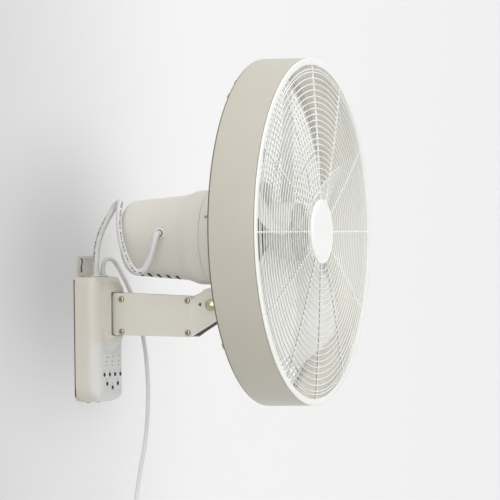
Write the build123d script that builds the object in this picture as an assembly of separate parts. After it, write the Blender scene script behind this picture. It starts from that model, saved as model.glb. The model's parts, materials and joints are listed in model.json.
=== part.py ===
from build123d import *
import math
import os

os.makedirs("parts", exist_ok=True)

# A wall mounted drum fan. Millimetres. The wall is the plane Y = 0, the fan blows towards -Y,
# Z is up, and the origin is on the wall, midway between the round parts of the two keyholes.

# ------------------------------------------------------------------ driving dimensions
# wall plate
plate_thickness = 2.0
tab_width = 72.0
tab_top = 8.4
tab_corner = 6.0
keyhole_pitch = 44.0
keyhole_radius = 4.8
keyhole_slot_width = 4.6
keyhole_drop = 9.7
plate_inset = 5.0
plate_flange_depth = 11.0
plate_flange_thickness = 2.0

# control case
case_width = 94.0
case_top = -19.0
case_bottom = -183.0
case_front = 35.0
case_corner = 13.0
case_front_round = 11.5
case_wall = 2.2
nose_radius = 39.4
nose_centre_depth = 10.4
nose_top = -22.5
nose_shoulder = 14.0
nose_taper_height = 23.0
window_width = 44.0
window_top = -38.3
window_bottom = -96.6
shelf_thickness = 3.0

# panel, buttons and lamps
panel_width = 66.0
panel_top = -121.0
panel_bottom = -168.0
panel_thickness = 0.6
panel_corner = 5.0
button_radius = 2.6
button_proud = 1.0
button_travel = 0.8
button_flange = 0.8
button_gap = 0.15
button_row_z = -147.0
button_pitch = 19.0
second_row_drop = 12.0
last_button_drop = 17.3
lamp_width = 3.2
lamp_height = 1.4
lamp_pitch_x = 22.0
lamp_row_z = -130.0
lamp_row_pitch = 5.0
board_thickness = 1.6
board_depth = 25.4
board_width = 74.0
board_top = -127.6
board_bottom = -174.0
switch_size = 6.0
switch_height = 2.4

# outlets for the cables
outlet_width = 40.0
outlet_length = 10.0
outlet_thickness = 2.0
outlet_depth = 18.6
outlet_offset = 12.3
cable_diameter = 8.2
cord_diameter = 5.5
relief_height = 7.0
relief_stem = 12.0

# swing
swing_depth = 34.0
swing_limit_deg = 22.0
hub_barrel_radius = 13.0
hub_gap = 1.0
pivot_radius = 5.0
bush_radius = 7.5
bush_flange_radius = 10.0
bush_flange_thickness = 0.8
gear_module = 1.0
sector_basis = 32
sector_teeth = 9
pinion_teeth = 12
gear_width = 5.0
gear_backlash = 0.16
swing_motor_radius = 14.0
swing_motor_height = 16.0
swing_motor_offset = 8.0

# arm
arm_width = 30.0
cover_thickness = 2.0
channel_wall = 1.9
arm_back = 42.6
arm_back_top = -40.0
arm_front_top = -45.8
arm_back_bottom = -95.4
arm_front_bottom = -99.0
arm_neck = 152.0
cover_round = 1.4
arm_corner = 4.0
bolt_depth = 178.7
bolt_z = -57.3
ear_radius = 22.0
bolt_radius = 4.0
bolt_head_radius = 7.6
bolt_head_height = 4.2
arm_screw_radius = 2.0
arm_screw_head = 3.8
arm_screw_head_height = 2.0
stop_hole_radius = 2.0

# motor and its housing
saddle_plate = 3.1
housing_rear = 62.0
housing_rear_radius = 48.0
housing_rear_round = 12.0
housing_taper_end = 146.0
housing_taper_radius = 55.6
collar_start = 162.0
collar_radius = 61.4
seam_depth = 180.0
collar_front = 247.6
housing_wall = 2.5
vent_count = 5
vent_first = 83.0
vent_pitch = 13.0
vent_width = 3.0
vent_span = 46.0
grommet_depth = 124.0
grommet_lift = 5.8
grommet_radius = 6.5

shaft_rise = 5.3
shaft_radius = 4.0
shaft_rear = 116.0
bearing_radius = 11.0
bearing_width = 7.0
stator_radius = 38.0
stator_bore = 23.0
stator_rear = 142.0
stator_length = 40.0
air_gap = 0.4
motor_frame_wall = 2.5

# drum, guards and rotor
drum_radius = 225.0
drum_wall = 2.2
drum_setback = 5.4
drum_depth = 65.6
drum_lip = 9.0
rim_width = 8.8
rim_thickness = 2.2
rim_depth = 10.0
rim_wall = 2.0
front_rings = 7
outer_ring_inset = 18.2
inner_ring_outset = 24.4
front_dome = 9.0
spoke_count = 12
wire = 1.6
badge_radius = 42.0
badge_proud = 11.4
badge_thickness = 5.0
rear_rings = 3
rear_hub_radius = 64.0
rear_thickness = 2.0
hub_radius = 40.0
hub_start = 9.0
hub_sunk = 21.6
hub_wall = 2.6
hub_recess = 7.0
blade_count = 5
tip_clearance = 29.8
tip_trim = 5.0
blade_thickness = 2.2
blade_phase_deg = 14.0
nut_radius = 12.0
nut_thickness = 7.0

bracket_screw_pitch = 16.0
bracket_screw_inset = 14.9
saddle_inset = 3.3

# clearances
seat_gap = 0.3
running_gap = 0.05

# cords
cord_coil_inner = 23.0
cord_coil_turns = 5.25
cord_coil_pitch = 7.7
cord_coil_layer = 6.9
cord_sides = 6
cord_swell = 1.03
coil_side = 4.7
tie_width = 8.0
plug_length = 36.0
plug_width = 32.0
plug_depth = 15.0
pin_radius = 2.4
pin_length = 19.0
pin_pitch = 19.0

# ------------------------------------------------------------------ values worked out from them
case_back = plate_thickness
case_inner = case_width / 2 - case_wall
case_inner_front = case_front - case_wall
cover_outer = arm_width / 2
cover_inner = cover_outer - cover_thickness
channel_outer = cover_inner
channel_inner = channel_outer - channel_wall
saddle_bottom = bolt_z + ear_radius + 1.5
housing_z = saddle_bottom + saddle_plate + collar_radius
fan_z = housing_z + shaft_rise
grommet_z = housing_z + grommet_lift
shaft_axis = (0.0, fan_z)
drum_rear = collar_front + drum_setback
drum_front = drum_rear + drum_depth
hub_rear = drum_rear + hub_start
hub_front = drum_front - hub_sunk
badge_front = drum_front + badge_proud
front_outer_ring = drum_radius - outer_ring_inset
front_ring_pitch = (front_outer_ring - badge_radius - inner_ring_outset) / (front_rings - 1)
hole_reach = (-case_front + 5.0, -case_front - 5.0)
drum_inner = drum_radius - drum_wall
tip_radius = drum_inner - tip_clearance
rim_inner = drum_radius - rim_width

# ------------------------------------------------------------------ helpers


def block(x, y, z):
    """a box between two values on each axis"""
    spans = [sorted(pair) for pair in (x, y, z)]
    middle = [(low + high) / 2 for low, high in spans]
    return Pos(*middle) * Box(*[high - low for low, high in spans])


def rod(radius, start, end):
    """a round bar from one point to another"""
    line = Vector(*end) - Vector(*start)
    return extrude(Plane(origin=start, z_dir=line) * Circle(radius), amount=line.length)


def bar(sides, radius, start, end):
    """a bar of a few flat sides, for what is hidden or small"""
    line = Vector(*end) - Vector(*start)
    return extrude(Plane(origin=start, z_dir=line) * RegularPolygon(radius, sides), amount=line.length)


def bore(shape, sides, radius, start, end):
    """a shape less a many-sided hole"""
    return shape - bar(sides, radius, start, end)


def rounded(centre, radius, start_deg, end_deg, count=3):
    """points along a quarter or less of a circle, for a rounding of a few flats"""
    step = (end_deg - start_deg) / count
    angles = [math.radians(start_deg + step * i) for i in range(count + 1)]
    return [(centre[0] + radius * math.cos(a), centre[1] + radius * math.sin(a)) for a in angles]


def turned(outline, z):
    """an outline of (radius, depth) points turned about the line at height z that runs along Y"""
    points = [(radius, -depth, z) for radius, depth in outline]
    return revolve(make_face(Polyline(*points, close=True)), Axis((0, 0, z), (0, 1, 0)))


def turned_up(outline, depth):
    """an outline of (radius, height) points turned about the upright line at a depth"""
    points = [(radius, -depth, z) for radius, z in outline]
    return revolve(make_face(Polyline(*points, close=True)), Axis((0, -depth, 0), (0, 0, 1)))


def across(edges, width):
    """a face in the YZ plane, pulled to a width centred on X = 0"""
    return extrude(make_face(edges), amount=width / 2, dir=(1, 0, 0), both=True)


def tangent_point(point, centre, radius, side):
    """where the line from a point touches a circle, in (depth, z)"""
    dx, dz = point[0] - centre[0], point[1] - centre[1]
    distance = math.hypot(dx, dz)
    angle = math.atan2(dz, dx) + side * math.acos(radius / distance)
    return centre[0] + radius * math.cos(angle), centre[1] + radius * math.sin(angle)


def mirrored(shape):
    """the shape and its mirror image across the plane X = 0"""
    return [shape, mirror(shape, Plane.YZ)]


def around(shape, count, z, start_deg=0.0):
    """copies of a shape about the line at height z that runs along Y"""
    axis = Axis((0, 0, z), (0, 1, 0))
    return [shape.rotate(axis, start_deg + 360.0 * i / count) for i in range(count)]


def fused(shapes):
    """one solid from many that cross"""
    whole = shapes[0]
    for shape in shapes[1:]:
        whole = whole + shape
    return whole


def save(shape, node):
    export_step(shape, f"parts/{node}.step")


def group(shapes):
    solids = [solid for shape in shapes for solid in shape.solids()]
    return Compound(children=solids)


# ------------------------------------------------------------------ wall plate


def keyhole(x):
    depth = plate_thickness * 3
    hole = rod(keyhole_radius, (x, -depth, 0), (x, depth, 0))
    slot_end = -keyhole_drop
    slot = block((x - keyhole_slot_width / 2, x + keyhole_slot_width / 2), (-depth, depth), (slot_end, 0))
    return hole + slot + rod(keyhole_slot_width / 2, (x, -depth, slot_end), (x, depth, slot_end))


top_screws = [(-29.0, 7.7), (29.0, 7.7)]
bottom_screws = [(-18.0, 7.7), (18.0, 7.7)]
plate_low = case_bottom + case_wall + seat_gap
plate_half = case_width / 2 - plate_inset
flange_top = case_top - case_wall
flange_bottom = case_bottom + case_wall

tab = Plane.XZ * Pos(0, (tab_top + case_top - 20) / 2) * RectangleRounded(
    tab_width, tab_top - case_top + 20, tab_corner
)
plate = extrude(tab, amount=plate_thickness)
plate += block((-plate_half, plate_half), (-plate_thickness, 0), (plate_low, flange_top - seat_gap))
for z_low in (flange_top - seat_gap - plate_flange_thickness, flange_bottom + seat_gap):
    plate += block(
        (-tab_width / 2, tab_width / 2),
        (-plate_thickness - plate_flange_depth, 0),
        (z_low, z_low + plate_flange_thickness),
    )
for x in (-keyhole_pitch / 2, keyhole_pitch / 2):
    plate -= keyhole(x)
for (x, depth) in top_screws:
    plate -= rod(1.7, (x, -depth, case_top - 20), (x, -depth, case_top + 5))
for (x, depth) in bottom_screws:
    plate -= rod(1.7, (x, -depth, case_bottom - 5), (x, -depth, case_bottom + 20))
save(plate, "wall_plate")

# ------------------------------------------------------------------ control case


def case_shape(width, top, bottom, front, corner):
    outline = Pos(0, (top + bottom) / 2) * RectangleRounded(width, top - bottom, corner)
    return extrude(Plane.XZ.offset(case_back) * outline, amount=front - case_back)


def front_rim_edges(body):
    return body.faces().sort_by(Axis.Y)[0].edges()


def nose_shape(radius, top, shoulder, foot_radius, foot):
    """the bulge in front: a drum with a rounded shoulder of a few flats that tapers below"""
    return turned_up(
        [
            (0, top),
            *reversed(rounded((radius - shoulder, top - shoulder), shoulder, 0, 90, 4)),
            (radius, window_bottom),
            (foot_radius, foot),
            (0, foot),
        ],
        nose_centre_depth,
    )


def in_front(shape):
    """what of a shape lies in front of the case's back"""
    return shape & block((-case_width, case_width), (-case_back, -2 * case_front), (2 * case_bottom, 0))


def window_shape():
    face = Plane.XZ.offset(nose_centre_depth) * Pos(0, (window_top + window_bottom) / 2)
    opening = extrude(face * RectangleRounded(window_width, window_top - window_bottom, 3.0), amount=60)
    return opening


def button_places():
    half = button_pitch / 2
    places = [(-3 * half, 0), (-half, 0), (half, 0), (3 * half, 0)]
    places += [(-button_pitch, second_row_drop), (button_pitch, second_row_drop), (0, last_button_drop)]
    return [(x, button_row_z - drop) for x, drop in places]


def lamp_places():
    return [
        (x, lamp_row_z - row * lamp_row_pitch)
        for x in (-lamp_pitch_x, 0, lamp_pitch_x)
        for row in range(2)
    ]


nose_foot = window_bottom - nose_taper_height
foot_radius = case_front - nose_centre_depth
outer = case_shape(case_width, case_top, case_bottom, case_front, case_corner)
outer = fillet(front_rim_edges(outer), case_front_round)
outer += in_front(nose_shape(nose_radius, nose_top, nose_shoulder, foot_radius, nose_foot))
inner = case_shape(
    case_width - 2 * case_wall,
    case_top - case_wall,
    case_bottom + case_wall,
    case_inner_front,
    case_corner - case_wall,
)
inner = chamfer(front_rim_edges(inner), case_front_round * 0.6)
inner += in_front(
    nose_shape(nose_radius - case_wall, window_top, 1.0, foot_radius - case_wall, nose_foot)
)
# the shelves and the solid head of the nose carry the two bushes of the swing pivot
inner -= block(
    (-case_inner, case_inner), (-case_back - 12, -80), (window_top, window_top + 40)
)
inner -= block((-case_inner, case_inner), (0, -80), (window_bottom - shelf_thickness, window_bottom))
case = outer - inner - window_shape()
swing_motor_x = math.sqrt(swing_motor_offset**2 - 4.5**2)
pinion_depth = swing_depth - gear_module * (sector_basis + pinion_teeth) / 2
swing_motor_depth = pinion_depth + 4.5
gear_top = window_bottom - shelf_thickness - 1.2
motor_ear_z = gear_top - gear_width - 3.6
for x in (swing_motor_x - 17.5, swing_motor_x + 17.5):
    case += rod(3.0, (x, -swing_motor_depth, motor_ear_z), (x, -swing_motor_depth, window_bottom - 1))
for x in (-board_width / 2 + 4, board_width / 2 - 4):
    for z in (board_top - 3.5, board_bottom + 4):
        case += bar(8, 2.6, (x, -board_depth - board_thickness, z), (x, -case_inner_front - 1, z))
case -= rod(pivot_radius + 2.4, (0, -swing_depth, window_top - 1), (0, -swing_depth, window_top + 9))
case -= rod(pivot_radius + 2.4, (0, -swing_depth, window_bottom - 8), (0, -swing_depth, window_bottom + 1))
panel_mid = (panel_top + panel_bottom) / 2
panel_outline = Plane.XZ.offset(case_front - panel_thickness) * Pos(0, panel_mid)
case -= extrude(
    panel_outline * RectangleRounded(panel_width, panel_top - panel_bottom, panel_corner), amount=5
)
for x, z in button_places():
    case = bore(case, 12, button_radius + button_gap + 0.1, *[(x, y, z) for y in hole_reach])
for x, z in lamp_places():
    case -= block(
        (x - lamp_width / 2 - 0.1, x + lamp_width / 2 + 0.1),
        hole_reach,
        (z - lamp_height / 2 - 0.1, z + lamp_height / 2 + 0.1),
    )
outlet_hole = block(
    (-outlet_width / 2 + 3, outlet_width / 2 - 3),
    (-outlet_depth - 3, -outlet_depth + 3),
    (case_top - 5, case_top + 5),
)
case -= outlet_hole
stem_radius = cord_diameter / 2 + 0.65
stem_end_z = case_top - relief_stem
stem_hole = [(outlet_offset, -outlet_depth, z) for z in (case_top + 1, stem_end_z - 1)]
case = bore(case, 12, stem_radius + 0.3, *stem_hole)
for (x, depth) in top_screws:
    case -= rod(1.7, (x, -depth, case_top - 20), (x, -depth, case_top + 5))
for (x, depth) in bottom_screws:
    case -= rod(1.7, (x, -depth, case_bottom - 5), (x, -depth, case_bottom + 20))
save(case, "control_case")

panel = extrude(
    panel_outline * RectangleRounded(panel_width, panel_top - panel_bottom, panel_corner),
    amount=panel_thickness,
)
for x, z in button_places():
    panel = bore(panel, 12, button_radius + button_gap + 0.1, *[(x, y, z) for y in hole_reach])
for x, z in lamp_places():
    panel -= block(
        (x - lamp_width / 2, x + lamp_width / 2), hole_reach, (z - lamp_height / 2, z + lamp_height / 2)
    )
save(panel, "control_panel")

# ------------------------------------------------------------------ buttons, lamps and the board
board_front = board_depth + board_thickness
flange_face = case_inner_front - seat_gap
stem_end = board_front + switch_height + 0.2 + button_travel
button_names = ["power", "speed", "mode", "timer", "swing", "rhythm", "light"]
for name, (x, z) in zip(button_names, button_places()):
    cap = bar(12, button_radius, (x, -flange_face + 0.1, z), (x, -case_front - button_proud, z))
    cap += bar(
        8, button_radius + 0.9, (x, -flange_face + button_flange, z), (x, -flange_face, z)
    )
    cap += bar(6, 1.2, (x, -stem_end, z), (x, -flange_face, z))
    save(cap, f"button_{name}")

board = block(
    (-board_width / 2, board_width / 2), (-board_depth, -board_front), (board_bottom, board_top)
)
save(board, "circuit_board")
switches = []
for x, z in button_places():
    half = switch_size / 2
    switches.append(
        block((x - half, x + half), (-board_front, -board_front - switch_height), (z - half, z + half))
    )
save(group(switches), "tact_switches")
lamps = []
for x, z in lamp_places():
    lamps.append(
        block(
            (x - lamp_width / 2, x + lamp_width / 2),
            (-board_front, -case_front),
            (z - lamp_height / 2, z + lamp_height / 2),
        )
    )
save(group(lamps), "lamps")

# ------------------------------------------------------------------ what the case holds
capacitor = block((-40, -6), (-case_back - seat_gap, -20), (-168, -146))
save(capacitor, "run_capacitor")
terminals = block((4, 36), (-case_back - seat_gap, -18), (-168, -156))
for i in range(4):
    x = 8 + 8 * i
    terminals -= block((x - 2, x + 2), (-12, -19), (-165, -159))
save(terminals, "terminal_block")

plate_z = case_top + outlet_thickness
outlet = block(
    (-outlet_width / 2, outlet_width / 2),
    (-outlet_depth - outlet_length / 2, -outlet_depth + outlet_length / 2),
    (case_top, plate_z),
)
outlet += block(
    (-outlet_width / 2 + 3.2, outlet_width / 2 - 3.2),
    (-outlet_depth - 2.8, -outlet_depth + 2.8),
    (case_top - case_wall, case_top + 0.5),
)
outlet = bore(
    outlet,
    12,
    stem_radius + 0.1,
    (outlet_offset, -outlet_depth, case_top - 5),
    (outlet_offset, -outlet_depth, plate_z + 5),
)
save(outlet, "outlet_plate")


def relief(x, diameter):
    """the short tapered collar that a cable leaves by"""
    lower = diameter / 2 + 1.3
    base = Plane(origin=(x, -outlet_depth, plate_z)) * RegularPolygon(lower, 16)
    top = Plane(origin=(x, -outlet_depth, plate_z + relief_height)) * RegularPolygon(diameter / 2 + 0.5, 16)
    return loft([base, top], ruled=True)


save(relief(-outlet_offset, cable_diameter), "motor_cable_gland")
cord_relief = relief(outlet_offset, cord_diameter)
cord_relief += bar(
    12, stem_radius, (outlet_offset, -outlet_depth, stem_end_z), (outlet_offset, -outlet_depth, plate_z + 0.5)
)
save(cord_relief, "power_strain_relief")

screws = []
for (x, depth) in top_screws:
    screws.append(
        bar(12, 3.0, (x, -depth, case_top), (x, -depth, case_top + 1.6))
        + bar(6, 1.6, (x, -depth, case_top - 5), (x, -depth, case_top + 1))
    )
for (x, depth) in bottom_screws:
    screws.append(
        bar(12, 3.0, (x, -depth, case_bottom), (x, -depth, case_bottom - 1.6))
        + bar(6, 1.6, (x, -depth, case_bottom + 5), (x, -depth, case_bottom - 1))
    )
save(group(screws), "case_screws")

# ------------------------------------------------------------------ swing drive
bushes = []
for face, way in ((window_top, 1), (window_bottom, -1)):
    flange = bar(
        24, bush_flange_radius, (0, -swing_depth, face), (0, -swing_depth, face - way * bush_flange_thickness)
    )
    sleeve = bar(
        24, pivot_radius + 2.35, (0, -swing_depth, face), (0, -swing_depth, face + way * shelf_thickness)
    )
    bush = flange + sleeve
    bush -= rod(pivot_radius + running_gap, (0, -swing_depth, face - 20), (0, -swing_depth, face + 20))
    bushes.append(bush)
save(group(bushes), "pivot_bushes")

pivot_top = window_top + 8.5
pivot_low = gear_top - gear_width
pivot = rod(pivot_radius, (0, -swing_depth, pivot_low), (0, -swing_depth, pivot_top))
save(pivot, "pivot_shaft")


def involute(base, radius, start_angle, flip):
    """a point of an involute flank at a radius"""
    lean = math.sqrt(max(radius**2 / base**2 - 1, 0)) if radius > base else 0.0
    return start_angle + flip * (lean - math.atan(lean))


def gear_points(teeth_basis, first, count, backlash):
    """the outline of teeth, counted from a first tooth, as (radius, angle) pairs"""
    pitch_radius = gear_module * teeth_basis / 2
    base = pitch_radius * math.cos(math.radians(20))
    tip = pitch_radius + gear_module
    root = pitch_radius - 1.25 * gear_module
    step = 2 * math.pi / teeth_basis
    half = step / 4 - backlash / 2 / pitch_radius
    lean = involute(base, pitch_radius, 0.0, 1)
    points = []
    for tooth in range(first, first + count):
        middle = tooth * step
        radii = [root, max(base, root + 0.1), pitch_radius, tip]
        for radius in radii:
            points.append((radius, middle - half - lean + involute(base, radius, 0.0, 1)))
        for radius in reversed(radii):
            points.append((radius, middle + half + lean - involute(base, radius, 0.0, 1)))
    return points


def gear_blank(points, turn, centre_y, z_low, close=()):
    outline = [
        (radius * math.sin(angle + turn), centre_y + radius * math.cos(angle + turn))
        for radius, angle in points
    ]
    face = make_face(Polyline(*outline, *close, close=True))
    return Pos(0, 0, z_low) * extrude(face, amount=gear_width)


side = sector_teeth // 2
sector_points = gear_points(sector_basis, -side, sector_teeth, gear_backlash)
heel = pivot_radius + 2.0
sector = gear_blank(
    sector_points, 0.0, -swing_depth, gear_top - gear_width,
    close=[(heel, -swing_depth + 1), (-heel, -swing_depth + 1)],
)
sector += rod(heel, (0, -swing_depth, gear_top - gear_width), (0, -swing_depth, gear_top))
sector -= rod(pivot_radius, (0, -swing_depth, gear_top - 20), (0, -swing_depth, gear_top + 20))
save(sector, "swing_sector")

motor_shaft_radius = 2.5
pinion_points = gear_points(pinion_teeth, 0, pinion_teeth, gear_backlash)
pinion = gear_blank(
    pinion_points, math.pi + math.pi / pinion_teeth, -pinion_depth, gear_top - gear_width
)
pinion += rod(
    motor_shaft_radius,
    (0, -pinion_depth, motor_ear_z - 3),
    (0, -pinion_depth, gear_top - gear_width + 0.5),
)
save(pinion, "swing_pinion")

motor_centre = (swing_motor_x, -swing_motor_depth)
swing_motor = rod(
    swing_motor_radius,
    (*motor_centre, motor_ear_z - 0.8 - swing_motor_height),
    (*motor_centre, motor_ear_z - 0.8),
)
swing_motor += block(
    (swing_motor_x - 21, swing_motor_x + 21),
    (-swing_motor_depth - 3.5, -swing_motor_depth + 3.5),
    (motor_ear_z - 0.8, motor_ear_z),
)
swing_motor -= rod(
    motor_shaft_radius + running_gap, (0, -pinion_depth, motor_ear_z - 4), (0, -pinion_depth, motor_ear_z + 1)
)
save(swing_motor, "swing_motor")

# ------------------------------------------------------------------ arm


def arm_edges(shrink=0.0):
    """the side outline of the arm: a box that narrows to the ear round the tilt bolt"""
    top_back = (arm_back + shrink, arm_back_top - shrink)
    top_neck = (arm_neck, arm_front_top - shrink)
    low_neck = (arm_neck + 2.0, arm_front_bottom + shrink)
    low_back = (arm_back + shrink, arm_back_bottom + shrink)
    radius = ear_radius - shrink
    ear = (bolt_depth, bolt_z)
    high = tangent_point(top_neck, ear, radius, -1)
    low = tangent_point(low_neck, ear, radius, 1)
    points = [low, low_neck, low_back, top_back, top_neck, high]
    line = Polyline(*[(0, -depth, z) for depth, z in points])
    nose = (bolt_depth + radius, bolt_z)
    arc = ThreePointArc((0, -high[0], high[1]), (0, -nose[0], nose[1]), (0, -low[0], low[1]))
    return [line, arc]


def plate_between(edges, low, high):
    face = make_face(edges)
    return Pos(low, 0, 0) * extrude(face, amount=high - low, dir=(1, 0, 0))


screw_places = [
    (arm_back + 12.0, arm_back_top - 8.8),
    (arm_back + 12.0, arm_back_bottom + 4.1),
    (arm_neck - 5.4, arm_front_top - 5.7),
    (arm_neck - 5.4, arm_front_bottom + 5.4),
]
rear_screws = screw_places[:2]


def screw_holes(radius, places, half):
    return [bar(8, radius, (-half, -depth, z), (half, -depth, z)) for depth, z in places]


cover = plate_between(arm_edges(), cover_inner, cover_outer)
back_corners = cover.edges().filter_by(Axis.X).sort_by(Axis.Y)[-2:]
cover = fillet(back_corners, arm_corner)
cover = chamfer(cover.faces().sort_by(Axis.X)[-1].edges(), cover_round)
for hole in screw_holes(arm_screw_radius + 0.3, screw_places, arm_width):
    cover -= hole
cover -= rod(bolt_radius + 0.1, (0, -bolt_depth, bolt_z), (arm_width, -bolt_depth, bolt_z))
cover -= rod(
    stop_hole_radius, (0, -bolt_depth + 14.7, bolt_z + 0.7), (arm_width, -bolt_depth + 14.7, bolt_z + 0.7)
)
save(cover, "arm_cover_right")
save(mirror(cover, Plane.YZ), "arm_cover_left")

channel_inset = 1.2
channel = plate_between(arm_edges(channel_inset), -channel_outer, channel_outer)
hollow = plate_between(arm_edges(channel_inset + channel_wall), -channel_inner, channel_inner)
channel -= hollow
channel -= block(
    (-channel_inner, channel_inner),
    (-arm_back - 2, -arm_neck + 4),
    (arm_front_bottom - 5, arm_front_bottom + 20),
)
channel -= block((-channel_inner, channel_inner), (-arm_neck + 4.1, -bolt_depth - 40), (-140, -20))
channel -= block((-channel_inner, channel_inner), (-arm_back + 5, -arm_back - 6), (-140, -20))
for hole in screw_holes(arm_screw_radius + 0.3, screw_places, arm_width):
    channel -= hole
channel -= rod(bolt_radius + 0.1, (-arm_width, -bolt_depth, bolt_z), (arm_width, -bolt_depth, bolt_z))
save(channel, "arm_channel")

hub_top = window_top - bush_flange_thickness - running_gap
hub_low = window_bottom + bush_flange_thickness + running_gap
hub = rod(hub_barrel_radius, (0, -swing_depth, hub_low), (0, -swing_depth, hub_top))
lug_half = channel_inner - seat_gap
hub += block(
    (-lug_half, lug_half),
    (-swing_depth - 6, -arm_back - 20),
    (arm_back_bottom + channel_inset + channel_wall + 3, arm_back_top - channel_inset - channel_wall - 3),
)
hub -= block(
    (-lug_half + 4, lug_half - 4),
    (-arm_back - 6, -arm_back - 30),
    (arm_back_bottom + 14, arm_back_top - 16),
)
hub -= rod(pivot_radius, (0, -swing_depth, case_bottom), (0, -swing_depth, 0))
for hole in screw_holes(arm_screw_radius + 0.3, rear_screws, arm_width):
    hub -= hole
save(hub, "swing_hub")


def side_screw(depth, z, way, length):
    face = way * cover_outer
    step = face + way * arm_screw_head_height * 0.55
    head = bar(12, arm_screw_head, (face, -depth, z), (step, -depth, z))
    head += bar(12, arm_screw_head * 0.7, (step, -depth, z), (face + way * arm_screw_head_height, -depth, z))
    return head + bar(6, arm_screw_radius, (face - way * length, -depth, z), (face + way * 1.0, -depth, z))


arm_screws = [
    side_screw(depth, z, way, 7.5 if (depth, z) in rear_screws else cover_thickness + channel_wall)
    for depth, z in screw_places
    for way in (-1, 1)
]
save(group(arm_screws), "arm_screws")

bolt_profile = [
    (0, -cover_outer - bolt_head_height),
    (bolt_head_radius * 0.5, -cover_outer - bolt_head_height),
    (bolt_head_radius, -cover_outer - bolt_head_height * 0.3),
    (bolt_head_radius, -cover_outer),
    (bolt_radius, -cover_outer),
    (bolt_radius, cover_outer + 0.5),
    (0, cover_outer + 0.5),
]


def turned_x(outline):
    """an outline of (radius, x) points turned about the tilt bolt's axis"""
    points = [(x, -bolt_depth, bolt_z + radius) for radius, x in outline]
    return revolve(make_face(Polyline(*points, close=True)), Axis((0, -bolt_depth, bolt_z), (1, 0, 0)))


save(turned_x(bolt_profile), "tilt_bolt")
nut_profile = [
    (bolt_radius + 0.02, cover_outer),
    (bolt_head_radius, cover_outer),
    (bolt_head_radius, cover_outer + bolt_head_height * 0.3),
    (bolt_head_radius * 0.5, cover_outer + bolt_head_height),
    (0, cover_outer + bolt_head_height),
    (0, cover_outer + 0.8),
    (bolt_radius + 0.02, cover_outer + 0.8),
]
save(turned_x(nut_profile), "tilt_nut")

# ------------------------------------------------------------------ tilt bracket
lug_width = 2 * channel_inner - 2 * 1.3
lug_radius = 15.0
lug_slope = lug_radius * math.sqrt(0.5)
lug_rise = saddle_bottom + 1 - (bolt_z + lug_slope)
saddle_rear = bolt_depth - lug_slope + lug_rise
lug_edges = [
    Polyline(
        (0, -bolt_depth + lug_slope, bolt_z + lug_slope),
        (0, -saddle_rear, saddle_bottom + 1),
        (0, -bolt_depth - lug_radius - 16, saddle_bottom + 1),
        (0, -bolt_depth - lug_radius, bolt_z),
    ),
    ThreePointArc(
        (0, -bolt_depth - lug_radius, bolt_z),
        (0, -bolt_depth, bolt_z - lug_radius),
        (0, -bolt_depth + lug_slope, bolt_z + lug_slope),
    ),
]
bracket = across(lug_edges, lug_width)
bracket += block(
    (-lug_radius - 3, lug_radius + 3),
    (-saddle_rear - saddle_inset, -collar_front + 8),
    (saddle_bottom, housing_z - 0.8 * collar_radius),
)
bracket -= rod(collar_radius + 0.02, (0, 0, housing_z), (0, -drum_front, housing_z))
bracket -= rod(bolt_radius + running_gap, (-arm_width, -bolt_depth, bolt_z), (arm_width, -bolt_depth, bolt_z))
bracket_screw_depths = [
    collar_front - bracket_screw_inset - bracket_screw_pitch, collar_front - bracket_screw_inset
]
for depth in bracket_screw_depths:
    bracket -= rod(2.1, (0, -depth, saddle_bottom - 3), (0, -depth, housing_z))
save(bracket, "tilt_bracket")

washers = []
for way in (-1, 1):
    ring = bar(
        20,
        lug_radius - 3,
        (way * (lug_width / 2 + 0.1), -bolt_depth, bolt_z),
        (way * (channel_inner - 0.1), -bolt_depth, bolt_z),
    )
    ring -= rod(
        bolt_radius + running_gap,
        (-arm_width, -bolt_depth, bolt_z),
        (arm_width, -bolt_depth, bolt_z),
    )
    washers.append(ring)
save(group(washers), "friction_washers")

# ------------------------------------------------------------------ motor housing


def housing_outline(gap, flats):
    """the tapered cup and its flared collar as (radius, depth) points, a wall inside the outside"""
    turn = housing_rear_round - gap
    middle = (housing_rear_radius - gap - turn, housing_rear + gap + turn)
    return [
        (0, housing_rear + gap),
        *rounded(middle, turn, -90, 0, flats),
        (housing_taper_radius - gap, housing_taper_end),
        (collar_radius - gap, collar_start),
        (collar_radius - gap, seam_depth),
        (0, seam_depth),
    ]


cup = turned(housing_outline(0.0, 3), housing_z)
cup -= turned(housing_outline(housing_wall, 1), housing_z)
for i in range(vent_count):
    depth = vent_first + i * vent_pitch
    cup -= block(
        (-vent_span / 2, vent_span / 2),
        (-depth - vent_width / 2, -depth + vent_width / 2),
        (housing_z - 80, housing_z - 30),
    )
grommet_rise = grommet_z - housing_z
taper = (housing_taper_radius - housing_rear_radius) / (housing_taper_end - housing_rear)
grommet_shell = housing_rear_radius + taper * (grommet_depth - housing_rear)
grommet_x = -grommet_shell - 0.7
cup -= bar(
    16,
    grommet_radius - 1.4,
    (grommet_x - 5, -grommet_depth, grommet_z),
    (grommet_x + 12, -grommet_depth, grommet_z),
)
save(cup, "motor_housing")

grommet = bar(
    24, grommet_radius, (grommet_x - 1.4, -grommet_depth, grommet_z), (grommet_x, -grommet_depth, grommet_z)
)
grommet += bar(
    16,
    grommet_radius - 1.6,
    (grommet_x - 1, -grommet_depth, grommet_z),
    (grommet_x + 5.5, -grommet_depth, grommet_z),
)
save(grommet, "cable_grommet")

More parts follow.
